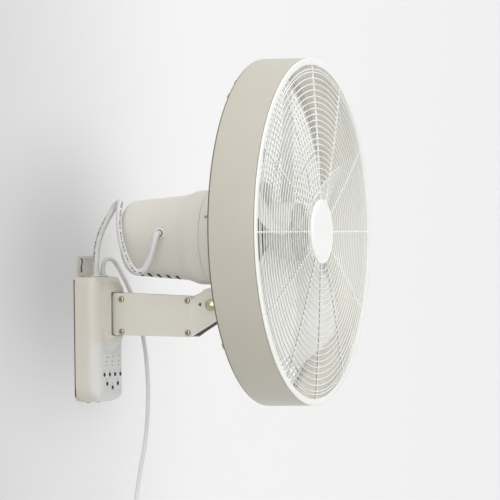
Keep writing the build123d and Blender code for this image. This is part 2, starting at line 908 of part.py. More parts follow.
collar = turned(
    [
        (collar_radius - housing_wall, seam_depth + 0.4),
        (collar_radius, seam_depth + 0.4),
        (collar_radius, collar_front),
        (collar_radius - housing_wall, collar_front),
    ],
    housing_z,
)
end_plate_depth = collar_front - 4.0
collar_screw_angles = [25.5, 154.5]
collar_screw_depth = 189.0
collar_screws = []
for degrees in collar_screw_angles:
    c, s = math.cos(math.radians(degrees)), math.sin(math.radians(degrees))
    at = [
        (r * c, -collar_screw_depth, housing_z + r * s)
        for r in (collar_radius - 6, collar_radius, collar_radius + 1.4)
    ]
    collar -= rod(1.7, at[0], at[2])
    collar_screws.append(rod(2.8, at[1], at[2]) + bar(6, 1.5, at[0], at[2]))
for depth in bracket_screw_depths:
    collar -= rod(
        2.1,
        (0, -depth, housing_z - 1.15 * collar_radius),
        (0, -depth, housing_z - 0.65 * collar_radius),
    )
save(collar, "motor_collar")
save(group(collar_screws), "collar_screws")
bracket_screws = [
    rod(3.5, (0, -depth, saddle_bottom - 2.2), (0, -depth, saddle_bottom))
    + bar(6, 2.0, (0, -depth, saddle_bottom - 1), (0, -depth, housing_z - collar_radius + 6.0))
    for depth in bracket_screw_depths
]
save(group(bracket_screws), "bracket_screws")

# ------------------------------------------------------------------ motor
stator_front = stator_rear + stator_length
frame_rear = stator_rear - 12
bearing_rear_depth = frame_rear + 1
bearing_front_depth = end_plate_depth - bearing_width - 1
frame_outline = [
    (shaft_radius + 2, frame_rear - motor_frame_wall),
    (stator_radius + motor_frame_wall, frame_rear - motor_frame_wall),
    (stator_radius + motor_frame_wall, end_plate_depth - 3),
    (stator_radius, end_plate_depth - 3),
    (stator_radius, frame_rear),
    (bearing_radius + 3, frame_rear),
    (bearing_radius + 3, frame_rear + bearing_width + 2),
    (bearing_radius, frame_rear + bearing_width + 2),
    (bearing_radius, frame_rear + 1),
    (shaft_radius + 2, frame_rear + 1),
]
motor_frame = turned(frame_outline, fan_z)
save(motor_frame, "motor_frame")

end_plate = rod(
    collar_radius - housing_wall - 0.05,
    (0, -end_plate_depth, housing_z),
    (0, -collar_front, housing_z),
)
end_plate += turned(
    [
        (bearing_radius, end_plate_depth - bearing_width - 1),
        (bearing_radius + 3, end_plate_depth - bearing_width - 1),
        (bearing_radius + 3, end_plate_depth + 1),
        (bearing_radius, end_plate_depth + 1),
    ],
    fan_z,
)
end_plate += turned(
    [
        (stator_radius, end_plate_depth - 3),
        (stator_radius + motor_frame_wall, end_plate_depth - 3),
        (stator_radius + motor_frame_wall, end_plate_depth + 1),
        (stator_radius, end_plate_depth + 1),
    ],
    fan_z,
)
end_plate -= rod(shaft_radius + 1.5, (0, -end_plate_depth + 20, fan_z), (0, -collar_front - 20, fan_z))
end_plate -= rod(
    bearing_radius, (0, -bearing_front_depth, fan_z), (0, -bearing_front_depth - bearing_width, fan_z)
)
save(end_plate, "motor_end_plate")

bearings = []
for depth in (bearing_rear_depth, bearing_front_depth):
    ring = rod(bearing_radius, (0, -depth, fan_z), (0, -depth - bearing_width, fan_z))
    ring -= rod(shaft_radius + running_gap, (0, -depth + 5, fan_z), (0, -depth - 20, fan_z))
    bearings.append(ring)
save(group(bearings), "shaft_bearings")

stator = bar(40, stator_radius, (0, -stator_rear, fan_z), (0, -stator_front, fan_z))
stator -= rod(stator_bore, (0, -stator_rear + 5, fan_z), (0, -stator_front - 5, fan_z))
save(stator, "stator_core")

windings = []
for depth, length in ((stator_rear - 8, 8), (stator_front, 10)):
    ring = bar(20, stator_radius - 3, (0, -depth, fan_z), (0, -depth - length, fan_z))
    ring -= bar(20, stator_bore + 3, (0, -depth + 5, fan_z), (0, -depth - length - 5, fan_z))
    windings.append(ring)
save(group(windings), "stator_windings")

rotor_core = rod(stator_bore - air_gap, (0, -stator_rear - 1, fan_z), (0, -stator_front + 1, fan_z))
rotor_core -= rod(shaft_radius, (0, 0, fan_z), (0, -drum_front, fan_z))
save(rotor_core, "rotor_core")

shaft_front = hub_front - 0.5
shaft = rod(shaft_radius, (0, -bearing_rear_depth + 1, fan_z), (0, -shaft_front, fan_z))
save(shaft, "motor_shaft")

# ------------------------------------------------------------------ drum, rim and guards
drum = turned(
    [
        (drum_radius - drum_lip, drum_rear),
        (drum_radius - 1.5, drum_rear),
        (drum_radius, drum_rear + 1.5),
        (drum_radius, drum_front - rim_thickness - 0.2),
        (drum_inner, drum_front - rim_thickness - 0.2),
        (drum_inner, drum_rear + drum_wall),
        (drum_radius - drum_lip, drum_rear + drum_wall),
    ],
    fan_z,
)
save(drum, "drum_band")

rim = turned(
    [
        (rim_inner, drum_front),
        (drum_radius, drum_front),
        (drum_radius, drum_front - rim_thickness),
        (rim_inner + rim_wall, drum_front - rim_thickness),
        (rim_inner + rim_wall, drum_front - rim_depth),
        (rim_inner, drum_front - rim_depth),
    ],
    fan_z,
)
save(rim, "front_rim")


def dome(radius):
    """how far forward the front guard's wires stand at a radius"""
    return drum_front - 1.0 + front_dome * (rim_inner - radius) / (rim_inner - badge_radius)


def wire_ring(radius, depth, width):
    """a ring of wire, three-sided to keep it light"""
    return turned(
        [(radius - width / 2, depth), (radius + width / 2, depth), (radius, depth + width)], fan_z
    )


def straight_spoke(inner, outer, line, lift):
    """a straight wire from one radius to another, laid along a line of depths"""
    corners = [(r, -line(r) - lift, fan_z) for r in (inner, outer)]
    corners += [(r, -line(r) - lift + wire, fan_z) for r in (outer, inner)]
    face = make_face(Polyline(*corners, close=True))
    return extrude(face, amount=wire / 2, dir=(0, 0, 1), both=True)


front_parts = [
    wire_ring(front_outer_ring - i * front_ring_pitch, dome(front_outer_ring - i * front_ring_pitch), wire)
    for i in range(front_rings)
]
front_spoke = straight_spoke(badge_radius - 3, rim_inner - 0.1, dome, 0.4)
front_parts += around(front_spoke, spoke_count, fan_z)
front_parts.append(
    turned(
        [
            (badge_radius - 5, dome(badge_radius) - 1.2),
            (badge_radius - 1, dome(badge_radius) - 1.2),
            (badge_radius - 1, dome(badge_radius) + 0.6),
            (badge_radius - 5, dome(badge_radius) + 0.6),
        ],
        fan_z,
    )
)
front_guard = fused(front_parts)
save(front_guard, "front_guard")

badge_back = dome(badge_radius) + 0.6
badge = turned(
    [
        (0, badge_back),
        (badge_radius, badge_back),
        (badge_radius, badge_front - 1.5),
        (badge_radius - 1.5, badge_front),
        (0, badge_front),
    ],
    fan_z,
)
save(badge, "guard_badge")

rear_front = collar_front + rear_thickness
rear_edge = drum_rear + drum_wall
rear_outer = drum_inner - seat_gap
rear_step = (rear_outer - rear_hub_radius) / (rear_rings + 1)


def rear_depth(radius):
    """the rear guard leans back from the motor to the drum's lip"""
    share = (radius - rear_hub_radius) / (drum_radius - drum_lip - 1.0 - rear_hub_radius)
    return collar_front + share * (rear_edge - collar_front)


rear_parts = [turned(
    [
        (0, collar_front),
        (rear_hub_radius + 2, collar_front),
        (rear_hub_radius + 2, rear_front),
        (0, rear_front),
    ],
    fan_z,
)]
for i in range(1, rear_rings + 1):
    radius = rear_hub_radius + i * rear_step
    rear_parts.append(wire_ring(radius, rear_depth(radius), wire + 0.4))
rear_parts.append(
    turned(
        [
            (rear_outer - 5, rear_edge),
            (rear_outer, rear_edge),
            (rear_outer, rear_edge + 2.4),
            (rear_outer - 5, rear_edge + 2.4),
        ],
        fan_z,
    )
)
rear_spoke = straight_spoke(rear_hub_radius, rear_outer - 3, rear_depth, wire)
rear_parts += around(rear_spoke, spoke_count, fan_z)
rear_guard = fused(rear_parts)
rear_guard -= bar(16, shaft_radius + 6, (0, -collar_front + 5, fan_z), (0, -collar_front - 20, fan_z))
save(rear_guard, "rear_guard")

clip_angles = [61, 52, 119, 128, 228, 312]
clips = []
for degrees in clip_angles:
    clip = block(
        (drum_radius - 8, drum_radius - 2),
        (-drum_rear, -drum_rear + 2.0),
        (fan_z - 4, fan_z + 4),
    )
    clips.append(clip.rotate(Axis((0, 0, fan_z), (0, -1, 0)), degrees))
save(group(clips), "rim_clips")

# ------------------------------------------------------------------ fan rotor
rotor_cup = turned(
    [
        (shaft_radius + running_gap, hub_rear + 4),
        (shaft_radius + 5, hub_rear + 4),
        (shaft_radius + 5, hub_front - hub_recess - hub_wall),
        (hub_radius - hub_wall, hub_front - hub_recess - hub_wall),
        (hub_radius - hub_wall, hub_rear),
        (hub_radius, hub_rear),
        (hub_radius, hub_front),
        (hub_radius - hub_wall, hub_front),
        (hub_radius - hub_wall, hub_front - hub_recess),
        (shaft_radius + running_gap, hub_front - hub_recess),
    ],
    fan_z,
)

# each blade section: distance from the axis, half chord, lead depth, trail depth, shift along the chord
blade_sections = [
    (hub_radius - 1.6, 15.0, drum_rear + 13.0, drum_front - 24.6, 0.0),
    (0.44 * tip_radius, 32.0, drum_rear + 9.5, drum_front - 18.6, 4.0),
    (0.70 * tip_radius, 44.0, drum_rear + 8.0, drum_front - 14.6, 6.0),
    (tip_radius - tip_trim, 44.0, drum_rear + 9.0, drum_front - 15.6, 4.0),
]


def blade_section(distance, half_chord, lead, trail, shift):
    """a thin bowed section, square to the blade's own radius"""
    rise = (trail - lead) * 0.16
    mid = (lead + trail) / 2
    x = distance

    def arc(offset):
        start = (x, -lead - offset, fan_z - half_chord + shift)
        middle = (x, -mid - offset + rise, fan_z + shift)
        end = (x, -trail - offset, fan_z + half_chord + shift)
        return start, middle, end

    upper, lower = arc(0.0), arc(blade_thickness)
    edges = [
        ThreePointArc(*upper),
        Line(upper[2], lower[2]),
        ThreePointArc(*lower),
        Line(lower[0], upper[0]),
    ]
    return make_face(edges)


blade = loft([blade_section(*row) for row in blade_sections], ruled=True)
blade_keep = turned(
    [(0, drum_rear), (tip_radius, drum_rear), (tip_radius, drum_front), (0, drum_front)],
    fan_z,
)
blade = blade & blade_keep
rotor_parts = around(blade, blade_count, fan_z, -blade_phase_deg)
fan_rotor = rotor_cup.fuse(*rotor_parts)
save(fan_rotor, "fan_rotor")

nut = bar(
    6,
    nut_radius,
    (0, -hub_front + hub_recess, fan_z),
    (0, -hub_front + hub_recess - nut_thickness + 1, fan_z),
)
nut -= rod(shaft_radius, (0, -hub_rear, fan_z), (0, -drum_front, fan_z))
save(nut, "rotor_nut")

# ------------------------------------------------------------------ cords


def corner_radii(points):
    """each corner's arc, as large as its two runs allow"""
    vectors = [Vector(*point) for point in points]
    radii = []
    for before, here, after in zip(vectors, vectors[1:], vectors[2:]):
        first, second = here - before, after - here
        turn = math.radians(first.get_angle(second))
        radii.append(0.45 * min(first.length, second.length) / math.tan(turn / 2))
    return radii


def cord_tube(points, diameter, name):
    radii = corner_radii(points)
    path = FilletPolyline(*points, radius=radii)
    plane = Plane(origin=path @ 0, z_dir=path % 0)
    section = plane * RegularPolygon(diameter / 2 * cord_swell, cord_sides)
    tube = sweep(section, path=path)
    share = tube.volume / (path.length * section.area)
    print(name, "length", round(path.length, 1), "volume share", round(share, 4))
    print("  radii", [round(r, 1) for r in radii])
    return tube, path.length


relief_top = plate_z + relief_height
cable_low_points = [
    (-outlet_offset, -outlet_depth, relief_top),
    (-outlet_offset, -outlet_depth, 8.0),
    (-13.4, -22.5, 27.0),
    (-14.0, -30.0, 46.0),
    (-13.0, -40.0, 63.0),
]
cable_high_points = [
    (-13.0, -40.0, 63.0),
    (-12.3, -47.0, 74.9),
    (-22.0, -58.0, 79.5),
    (-39.0, -63.0, 70.0),
    (-53.0, -67.0, 50.0),
    (-61.0, -73.0, 26.0),
    (-64.5, -82.0, 3.0),
    (-65.5, -93.5, -14.0),
    (-66.5, -107.0, -12.0),
    (-67.5, -116.5, 6.0),
    (-69.5, -121.8, 20.5),
    (-69.0, -123.7, 30.0),
    (-62.5, -grommet_depth, grommet_z),
    (grommet_x - 1.5, -grommet_depth, grommet_z),
]
cable_low, cable_low_length = cord_tube(cable_low_points, cable_diameter, "motor cable, lower")
cable_high, cable_high_length = cord_tube(cable_high_points, cable_diameter, "motor cable, upper")
save(cable_low, "motor_cable_lower")
save(cable_high, "motor_cable_upper")

coil_start_x = 47.0
coil_depth = 38.0
coil_mid_turn = cord_coil_turns / 2
coil_tail = coil_start_x - 3.0
coil_outer = cord_coil_inner + cord_coil_pitch * (coil_mid_turn - 0.25)
coil_z = -323.0 - coil_outer - cord_diameter
cord_points = [
    (outlet_offset, -outlet_depth, relief_top),
    (outlet_offset, -outlet_depth, 1.5),
    (24.0, -23.0, 11.0),
    (39.0, -24.5, 8.5),
    (52.0, -26.0, -4.0),
    (63.0, -29.5, -19.5),
    (72.0, -34.5, -40.0),
    (78.0, -42.0, -70.0),
    (80.5, -50.0, -108.0),
    (82.0, -53.5, -150.0),
    (82.5, -53.0, -195.0),
    (80.5, -49.5, -237.0),
    (77.0, -43.5, -274.0),
    (75.5, -coil_depth - 1.0, -302.0),
    (69.0, -coil_depth, coil_z + coil_outer),
    (coil_start_x + cord_diameter, -coil_depth, coil_z + coil_outer),
]
coil_start = Vector(coil_start_x, -coil_depth, coil_z + coil_outer)
coil_lead = coil_start + Vector(cord_diameter, 0, 0)
power_cord, power_cord_length = cord_tube(cord_points, cord_diameter, "power cord")
save(power_cord, "power_cord")


def coil_point(turns):
    """a point of the coil's centre line, counted in turns from its start at the top"""
    away = max(abs(turns - coil_mid_turn) - 0.25, 0.0)
    radius = cord_coil_inner + cord_coil_pitch * away
    climb = min(max((turns - coil_mid_turn + 0.25) / 0.5, 0.0), 1.0)
    lift = cord_coil_layer * (1 - math.cos(math.pi * climb)) / 2
    angle = math.pi / 2 + 2 * math.pi * turns
    return Vector(
        coil_start_x + radius * math.cos(angle), -coil_depth + lift, coil_z + radius * math.sin(angle)
    )


def coil_direction(turns):
    step = 1e-4
    return (coil_point(turns + step) - coil_point(turns - step)).normalized()


def biarc(start, start_way, end, end_way):
    """two arcs that leave start and reach end along the given directions"""
    gap = end - start
    total = start_way + end_way
    a = 2 * (1 - start_way.dot(end_way))
    b = 2 * gap.dot(total)
    reach = (-b + math.sqrt(b * b + 4 * a * gap.dot(gap))) / (2 * a)
    middle = (start + start_way * reach + end - end_way * reach) * 0.5
    middle_way = (middle - (start + start_way * reach)).normalized()
    return [
        TangentArc(start, middle, tangent=start_way),
        TangentArc(middle, end, tangent=middle_way),
    ]


def coil_edges():
    count = round(cord_coil_turns * 4)
    knots = [cord_coil_turns * i / count for i in range(count + 1)]
    ways = [coil_direction(turn) for turn in knots]
    ways[0] = Vector(-1, 0, 0)
    ways[-1] = Vector(0, 0, -1)
    edges = []
    for i in range(count):
        edges += biarc(coil_point(knots[i]), ways[i], coil_point(knots[i + 1]), ways[i + 1])
    return edges


coil_arcs = coil_edges()
coil_end = coil_point(cord_coil_turns)
plug_top = coil_end - Vector(0, 0, coil_tail)
lead_in = Line(coil_lead, coil_start)
tail = Line(coil_end, plug_top)
coil_path = Wire([edge for piece in [lead_in, *coil_arcs, tail] for edge in piece.edges()])
coil_plane = Plane(origin=coil_path @ 0, x_dir=(0, 1, 0), z_dir=coil_path % 0)
coil_section = coil_plane * Rectangle(coil_side, coil_side)
coil = sweep(coil_section, path=coil_path)
samples = [coil_point(cord_coil_turns * i / 500) for i in range(501)]


def square_gap(one, other):
    """the gap between two turns whose square sections keep a side in the coil's plane"""
    apart = one - other
    return max(math.hypot(apart.X, apart.Z), abs(apart.Y)) - coil_side


near = min(square_gap(samples[i], samples[j]) for i in range(0, 501, 2) for j in range(i + 60, 501))
print("coil length", round(coil_path.length, 1), "least gap to itself", round(near, 2))
print(
    "coil valid",
    coil.is_valid,
    "volume share",
    round(coil.volume / (coil_path.length * coil_section.area), 4),
)
save(coil, "power_cord_coil")
print("whole power cord", round(power_cord_length + coil_path.length, 1))

tie_mid = coil_z - (cord_coil_inner + coil_outer) / 2
tie_x = coil_start_x
tie_half_z = (coil_outer - cord_coil_inner) / 2 + cord_diameter / 2 + 1.2
tie_front = coil_depth + cord_diameter / 2 + 1.2
tie_back = coil_depth - cord_coil_layer - cord_diameter / 2 - 1.2
tie = block(
    (tie_x - tie_width / 2, tie_x + tie_width / 2),
    (-tie_front - 1.0, -tie_back + 1.0),
    (tie_mid - tie_half_z - 1.0, tie_mid + tie_half_z + 1.0),
)
tie -= block(
    (tie_x - tie_width, tie_x + tie_width),
    (-tie_front, -tie_back),
    (tie_mid - tie_half_z, tie_mid + tie_half_z),
)
save(tie, "cord_tie")

plug_plane = Plane(origin=plug_top, x_dir=(1, 0, 0), z_dir=(0, 0, -1))


def plug_outline(width, depth):
    """an eight-sided outline of the moulded plug"""
    cut = 0.3 * min(width, depth)
    half_w, half_d = width / 2, depth / 2
    quarter = [(half_w, half_d - cut), (half_w - cut, half_d)]
    points = quarter + [(-x, y) for x, y in reversed(quarter)]
    return make_face(Polyline(*points, *[(-x, -y) for x, y in points], close=True))


plug_shoulder = 0.6 * plug_length
plug_sections = [
    plug_plane * plug_outline(9.0, 9.0),
    plug_plane.offset(plug_shoulder) * plug_outline(plug_width, plug_depth),
    plug_plane.offset(plug_length) * plug_outline(plug_width, plug_depth),
]
plug = loft(plug_sections, ruled=True)
save(plug, "power_plug")
pin_root = plug_top - Vector(0, 0, plug_length)
pins = [
    rod(pin_radius, pin_root + Vector(x, 0, 0), pin_root + Vector(x, 0, -pin_length))
    for x in (-pin_pitch / 2, pin_pitch / 2)
]
save(group(pins), "plug_pins")
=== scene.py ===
import json
import math

import bpy
from mathutils import Matrix, Vector


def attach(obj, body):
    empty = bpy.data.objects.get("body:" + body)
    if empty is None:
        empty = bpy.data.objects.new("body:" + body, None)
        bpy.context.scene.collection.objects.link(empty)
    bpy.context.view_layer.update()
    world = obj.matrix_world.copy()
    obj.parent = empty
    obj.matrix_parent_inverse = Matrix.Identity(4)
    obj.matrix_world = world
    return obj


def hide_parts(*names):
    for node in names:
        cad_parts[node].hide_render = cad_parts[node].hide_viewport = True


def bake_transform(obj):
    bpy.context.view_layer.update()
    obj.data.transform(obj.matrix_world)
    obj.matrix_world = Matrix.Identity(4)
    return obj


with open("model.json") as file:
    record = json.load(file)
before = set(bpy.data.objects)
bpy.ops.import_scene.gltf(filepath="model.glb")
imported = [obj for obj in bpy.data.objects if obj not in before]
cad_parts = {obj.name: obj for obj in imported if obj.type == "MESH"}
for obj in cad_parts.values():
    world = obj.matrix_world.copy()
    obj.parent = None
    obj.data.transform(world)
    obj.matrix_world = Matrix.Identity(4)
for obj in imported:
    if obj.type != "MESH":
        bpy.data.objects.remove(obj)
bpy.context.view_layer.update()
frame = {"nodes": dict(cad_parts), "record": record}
MM = 0.001
FAN_Z = 36.0
HOUSING_Z = 30.7
COLLAR_RADIUS = 61.4
NOSE_DEPTH = 10.4
PANEL_DEPTH = 34.4
BOLT_DEPTH, BOLT_Z = 178.7, -57.3
EAR_RADIUS = 22
GUARD_RADIUS = 216.2
RING_PITCH, RING_WIRE = 7.8, 0.8
TIP_RADIUS = 192.5
CABLE_RADIUS, CORD_RADIUS = 4.1, 2.75
VIEW_DEGREES, CAMERA_AWAY = 4.65, 8

# --- finishes


class Wire:
    """a node's output, on which Python's own operators add Math nodes"""

    def __init__(self, finish, socket):
        self.finish, self.socket = finish, socket

    def maths(self, operation, *values):
        return self.finish.node("ShaderNodeMath", {"operation": operation}, dict(enumerate(values)))

    def __add__(self, other):
        return self.maths("ADD", self, other)

    def __sub__(self, other):
        return self.maths("SUBTRACT", self, other)

    def __rsub__(self, other):
        return self.maths("SUBTRACT", other, self)

    def __mul__(self, other):
        return self.maths("MULTIPLY", self, other)

    def __abs__(self):
        return self.maths("ABSOLUTE", self)

    __radd__, __rmul__ = __add__, __mul__

    def between(self, low, high):
        """0 below low, 1 above high, and a soft step from one to the other"""
        return self.finish.node("ShaderNodeMapRange", {"interpolation_type": "SMOOTHSTEP"}, {0: self, 1: low, 2: high})


def tone(red, green, blue):
    """a colour as it looks on a screen, 0 to 255, as the light it stands for"""
    return tuple(((c / 255 + 0.055) / 1.055) ** 2.4 if c > 10 else c / 3295 for c in (red, green, blue)) + (1.0,)


class Finish:
    """a material: its plain values, and what varies over its surface"""

    def __init__(self, name, colour, **plain):
        self.name = name
        self.material = bpy.data.materials.new(name + "_finish")
        self.material.use_nodes = True
        self.tree = self.material.node_tree
        self.shader = self.tree.nodes["Principled BSDF"]
        self.colour = colour
        self.shader.inputs["Base Color"].default_value = colour
        for socket, value in plain.items():
            self.shader.inputs[socket.replace("_", " ")].default_value = value
        self.here = self.node("ShaderNodeTexCoord", output="Object")

    def node(self, kind, settings=None, values=None, output=0):
        made = self.tree.nodes.new(kind)
        for key, value in (settings or {}).items():
            if key == "stops":
                ramp = made.color_ramp
                for place, shade in value[2:]:
                    ramp.elements.new(place)
                for element, (place, shade) in zip(ramp.elements, value):
                    element.position, element.color = place, shade
            else:
                setattr(made, key, value)
        for key, value in (values or {}).items():
            if isinstance(value, Wire):
                self.tree.links.new(value.socket, made.inputs[key])
            else:
                made.inputs[key].default_value = value
        return Wire(self, made.outputs[output])

    def along(self, axis):
        """how far along X, Y or Z a point of the surface lies"""
        return self.node("ShaderNodeSeparateXYZ", None, {0: self.here}, axis)

    def stretched(self, scale=(1, 1, 1), turn=(0, 0, 0)):
        return self.node("ShaderNodeMapping", None, {"Vector": self.here, "Scale": scale, "Rotation": turn})

    def noise(self, scale, detail=2.0, rough=0.5, where=None):
        values = {"Vector": where or self.here, "Scale": scale, "Detail": detail, "Roughness": rough}
        return self.node("ShaderNodeTexNoise", None, values)

    def mix(self, share, one, other):
        return self.node("ShaderNodeMix", {"data_type": "RGBA"}, {0: share, 6: one, 7: other}, 2)

    def relief(self, height, depth_mm, under=None):
        """a bump of a height from 0 to 1, as deep as that many millimetres"""
        values = {"Height": height, "Distance": depth_mm * MM, "Strength": 1.0}
        if under:
            values["Normal"] = under
        return self.node("ShaderNodeBump", None, values)

    def gives(self, **wires):
        for socket, wire in wires.items():
            self.tree.links.new(wire.socket, self.shader.inputs[socket.replace("_", " ")])
        return self


def shade(colour, factor):
    return tuple(min(c * factor, 1.0) for c in colour[:3]) + (1.0,)


def paint(name, colour, roughness=0.38, peel=0.02, spread=0.02, patches=lambda f: ()):
    """powder paint: an even colour that clouds a little, with a fine orange peel, and other colours on patches of it;
    some patches are painted shade or painted light
    """
    f = Finish(name, colour, Specular_IOR_Level=0.5, Coat_Roughness=0.25, Coat_IOR=1.45)
    cloud = f.noise(7.0, 3.0, 0.55)
    speck = f.noise(1400.0, 1.0)
    body = f.mix(cloud.between(0.3, 0.7), shade(colour, 1 - spread), shade(colour, 1 + spread))
    dust = f.mix(speck.between(0.62, 0.8) * 0.12, body, shade(colour, 0.86))
    grain = f.noise(520.0, 2.0, 0.6) * 0.7 + f.noise(1900.0, 1.0) * 0.3
    for patch, patch_colour in patches(f):
        dust = f.mix(patch, dust, patch_colour)
    return f.gives(
        Base_Color=dust,
        Roughness=cloud * 0.06 + grain * 0.08 + (roughness - 0.07),
        Coat_Weight=grain.between(0.2, 0.8) * 0.12 + 0.06,
        Normal=f.relief(grain, peel),
    )


def plastic(name, colour, roughness=0.35, grain_mm=0.01, scale=900.0, **plain):
    """moulded plastic with a fine grain and faint flow marks"""
    f = Finish(name, colour, Specular_IOR_Level=0.5, **plain)
    flow = f.noise(5.0, 3.0, 0.6, f.stretched((1, 1, 3)))
    grain = f.noise(scale, 2.0, 0.5)
    return f.gives(
        Base_Color=f.mix(flow.between(0.3, 0.7), shade(colour, 0.975), shade(colour, 1.015)),
        Roughness=flow * 0.08 + grain * 0.06 + (roughness - 0.07),
        Normal=f.relief(grain, grain_mm),
    )


def metal(name, colour, roughness=0.28, lines=(1, 1, 1), scratch=0.012):
    """plated or ground metal with fine lines and a slight stain"""
    f = Finish(name, colour, Metallic=1.0)
    stain = f.noise(60.0, 4.0, 0.6)
    line = f.noise(900.0, 3.0, 0.6, f.stretched(lines))
    return f.gives(
        Base_Color=f.mix(stain.between(0.35, 0.75), colour, shade(colour, 0.78)),
        Roughness=line * 0.16 + stain * 0.1 + (roughness - 0.12),
        Normal=f.relief(line, scratch),
    )


def vinyl(name, colour, roughness=0.42):
    """the soft sheath of a cable: a faint ripple of what lies inside, and handling marks"""
    f = Finish(name, colour, Specular_IOR_Level=0.45, Subsurface_Weight=0.0)
    ripple = f.noise(140.0, 2.0, 0.5)
    smear = f.noise(26.0, 4.0, 0.6)
    grain = f.noise(2600.0, 1.0)
    return f.gives(
        Base_Color=f.mix(smear.between(0.4, 0.8), colour, shade(colour, 0.95)),
        Roughness=smear * 0.14 + (roughness - 0.06),
        Normal=f.relief(ripple * 0.8 + grain * 0.2, 0.05),
    )


def board_finish(name, colour):
    """a printed board: green lacquer over tracks that run up and across"""
    f = Finish(name, colour, Specular_IOR_Level=0.6)
    tracks = f.node("ShaderNodeTexBrick", {"offset": 0.37}, {
        "Vector": f.stretched((1, 1, 1), (math.pi / 2, 0, 0)), "Scale": 240.0, "Mortar Size": 0.03,
        "Color1": (0, 0, 0, 1), "Color2": (0, 0, 0, 1), "Mortar": (1, 1, 1, 1)})
    return f.gives(
        Base_Color=f.mix(tracks, colour, shade(colour, 1.9)),
        Roughness=f.noise(300.0) * 0.1 + 0.3,
        Normal=f.relief(tracks, 0.03),
    )


def winding_finish(name, colour):
    """enamelled copper wire laid round the motor's axis"""
    f = Finish(name, colour, Metallic=0.9)
    strands = f.node("ShaderNodeTexWave", {"wave_type": "BANDS", "bands_direction": "Y"}, {
        "Vector": f.here, "Scale": 260.0, "Distortion": 2.5, "Detail": 2.0, "Detail Scale": 3.0}, 1)
    return f.gives(
        Base_Color=f.mix(strands, shade(colour, 0.45), colour),
        Roughness=strands * 0.15 + 0.3,
        Normal=f.relief(strands, 0.3),
    )


def lamination_finish(name, colour):
    """a stack of thin steel sheets, seen on edge"""
    f = Finish(name, colour, Metallic=0.85)
    sheets = f.node("ShaderNodeTexWave", {"wave_type": "BANDS", "bands_direction": "Y"}, {
        "Vector": f.here, "Scale": 620.0, "Distortion": 0.3}, 1)
    rust = f.noise(45.0, 4.0, 0.65)
    return f.gives(
        Base_Color=f.mix(rust.between(0.5, 0.75), colour, tone(120, 104, 90)),
        Roughness=sheets * 0.2 + 0.4,
        Normal=f.relief(sheets, 0.08),
    )


def painted_edge_shade(f):
    """painted shade on the wall bracket's outer edge, where it lies in the gap behind the case, and round the edges of
    its keyholes
    """
    x, z = abs(f.along(0)), f.along(2)
    aside = abs(x - 0.022)
    head = (aside * aside + z * z).between(0.0000325, 0.00003)
    slot = aside.between(0.0032, 0.0029) * z.between(-0.0132, -0.0126) * z.between(0.001, 0.0)
    return (x.between(0.0452, 0.0456) + head + slot).between(0.0, 1.0)


def vent_wall_shade(f):
    """the cut walls of the vent slots under the motor, where the colour is painted dark as shade"""
    depth = f.along(1) * -1.0
    off = f.node("ShaderNodeMath", {"operation": "PINGPONG"}, {0: depth - 0.083, 1: 0.0065})
    row = depth.between(0.0795, 0.0805) * depth.between(0.1385, 0.1375)
    return (off.between(0.0023, 0.00215) * row * abs(f.along(0)).between(0.0228, 0.0224)
            * f.along(2).between(-0.01, -0.012))


def drum_painted_shading(f):
    """painted shade on the drum's rear edge, and painted light that makes its inner wall lighter"""
    x, z = f.along(0), f.along(2) - 0.036
    outside = (x * x + z * z).between(0.04985, 0.05)
    return ((f.along(1).between(-0.2556, -0.2551) * outside, tone(104, 93, 78)),
            (outside.between(1.0, 0.0), tone(238, 235, 226)))


def front_lower_painted_light(f):
    """the lower front face of the case, where the panel lies, painted a lighter and cooler tone as the light on that
    face
    """
    return f.along(1).between(-0.016, -0.033) * f.along(2).between(-0.099, -0.114)


def painted_wire_shade(f):
    """the painted shade on the guard wires, which each wire's own attribute gives"""
    return f.node("ShaderNodeAttribute", {"attribute_name": "dust"}, output="Fac")


GREIGE = tone(210, 206, 195)
WHITE = tone(238, 239, 235)
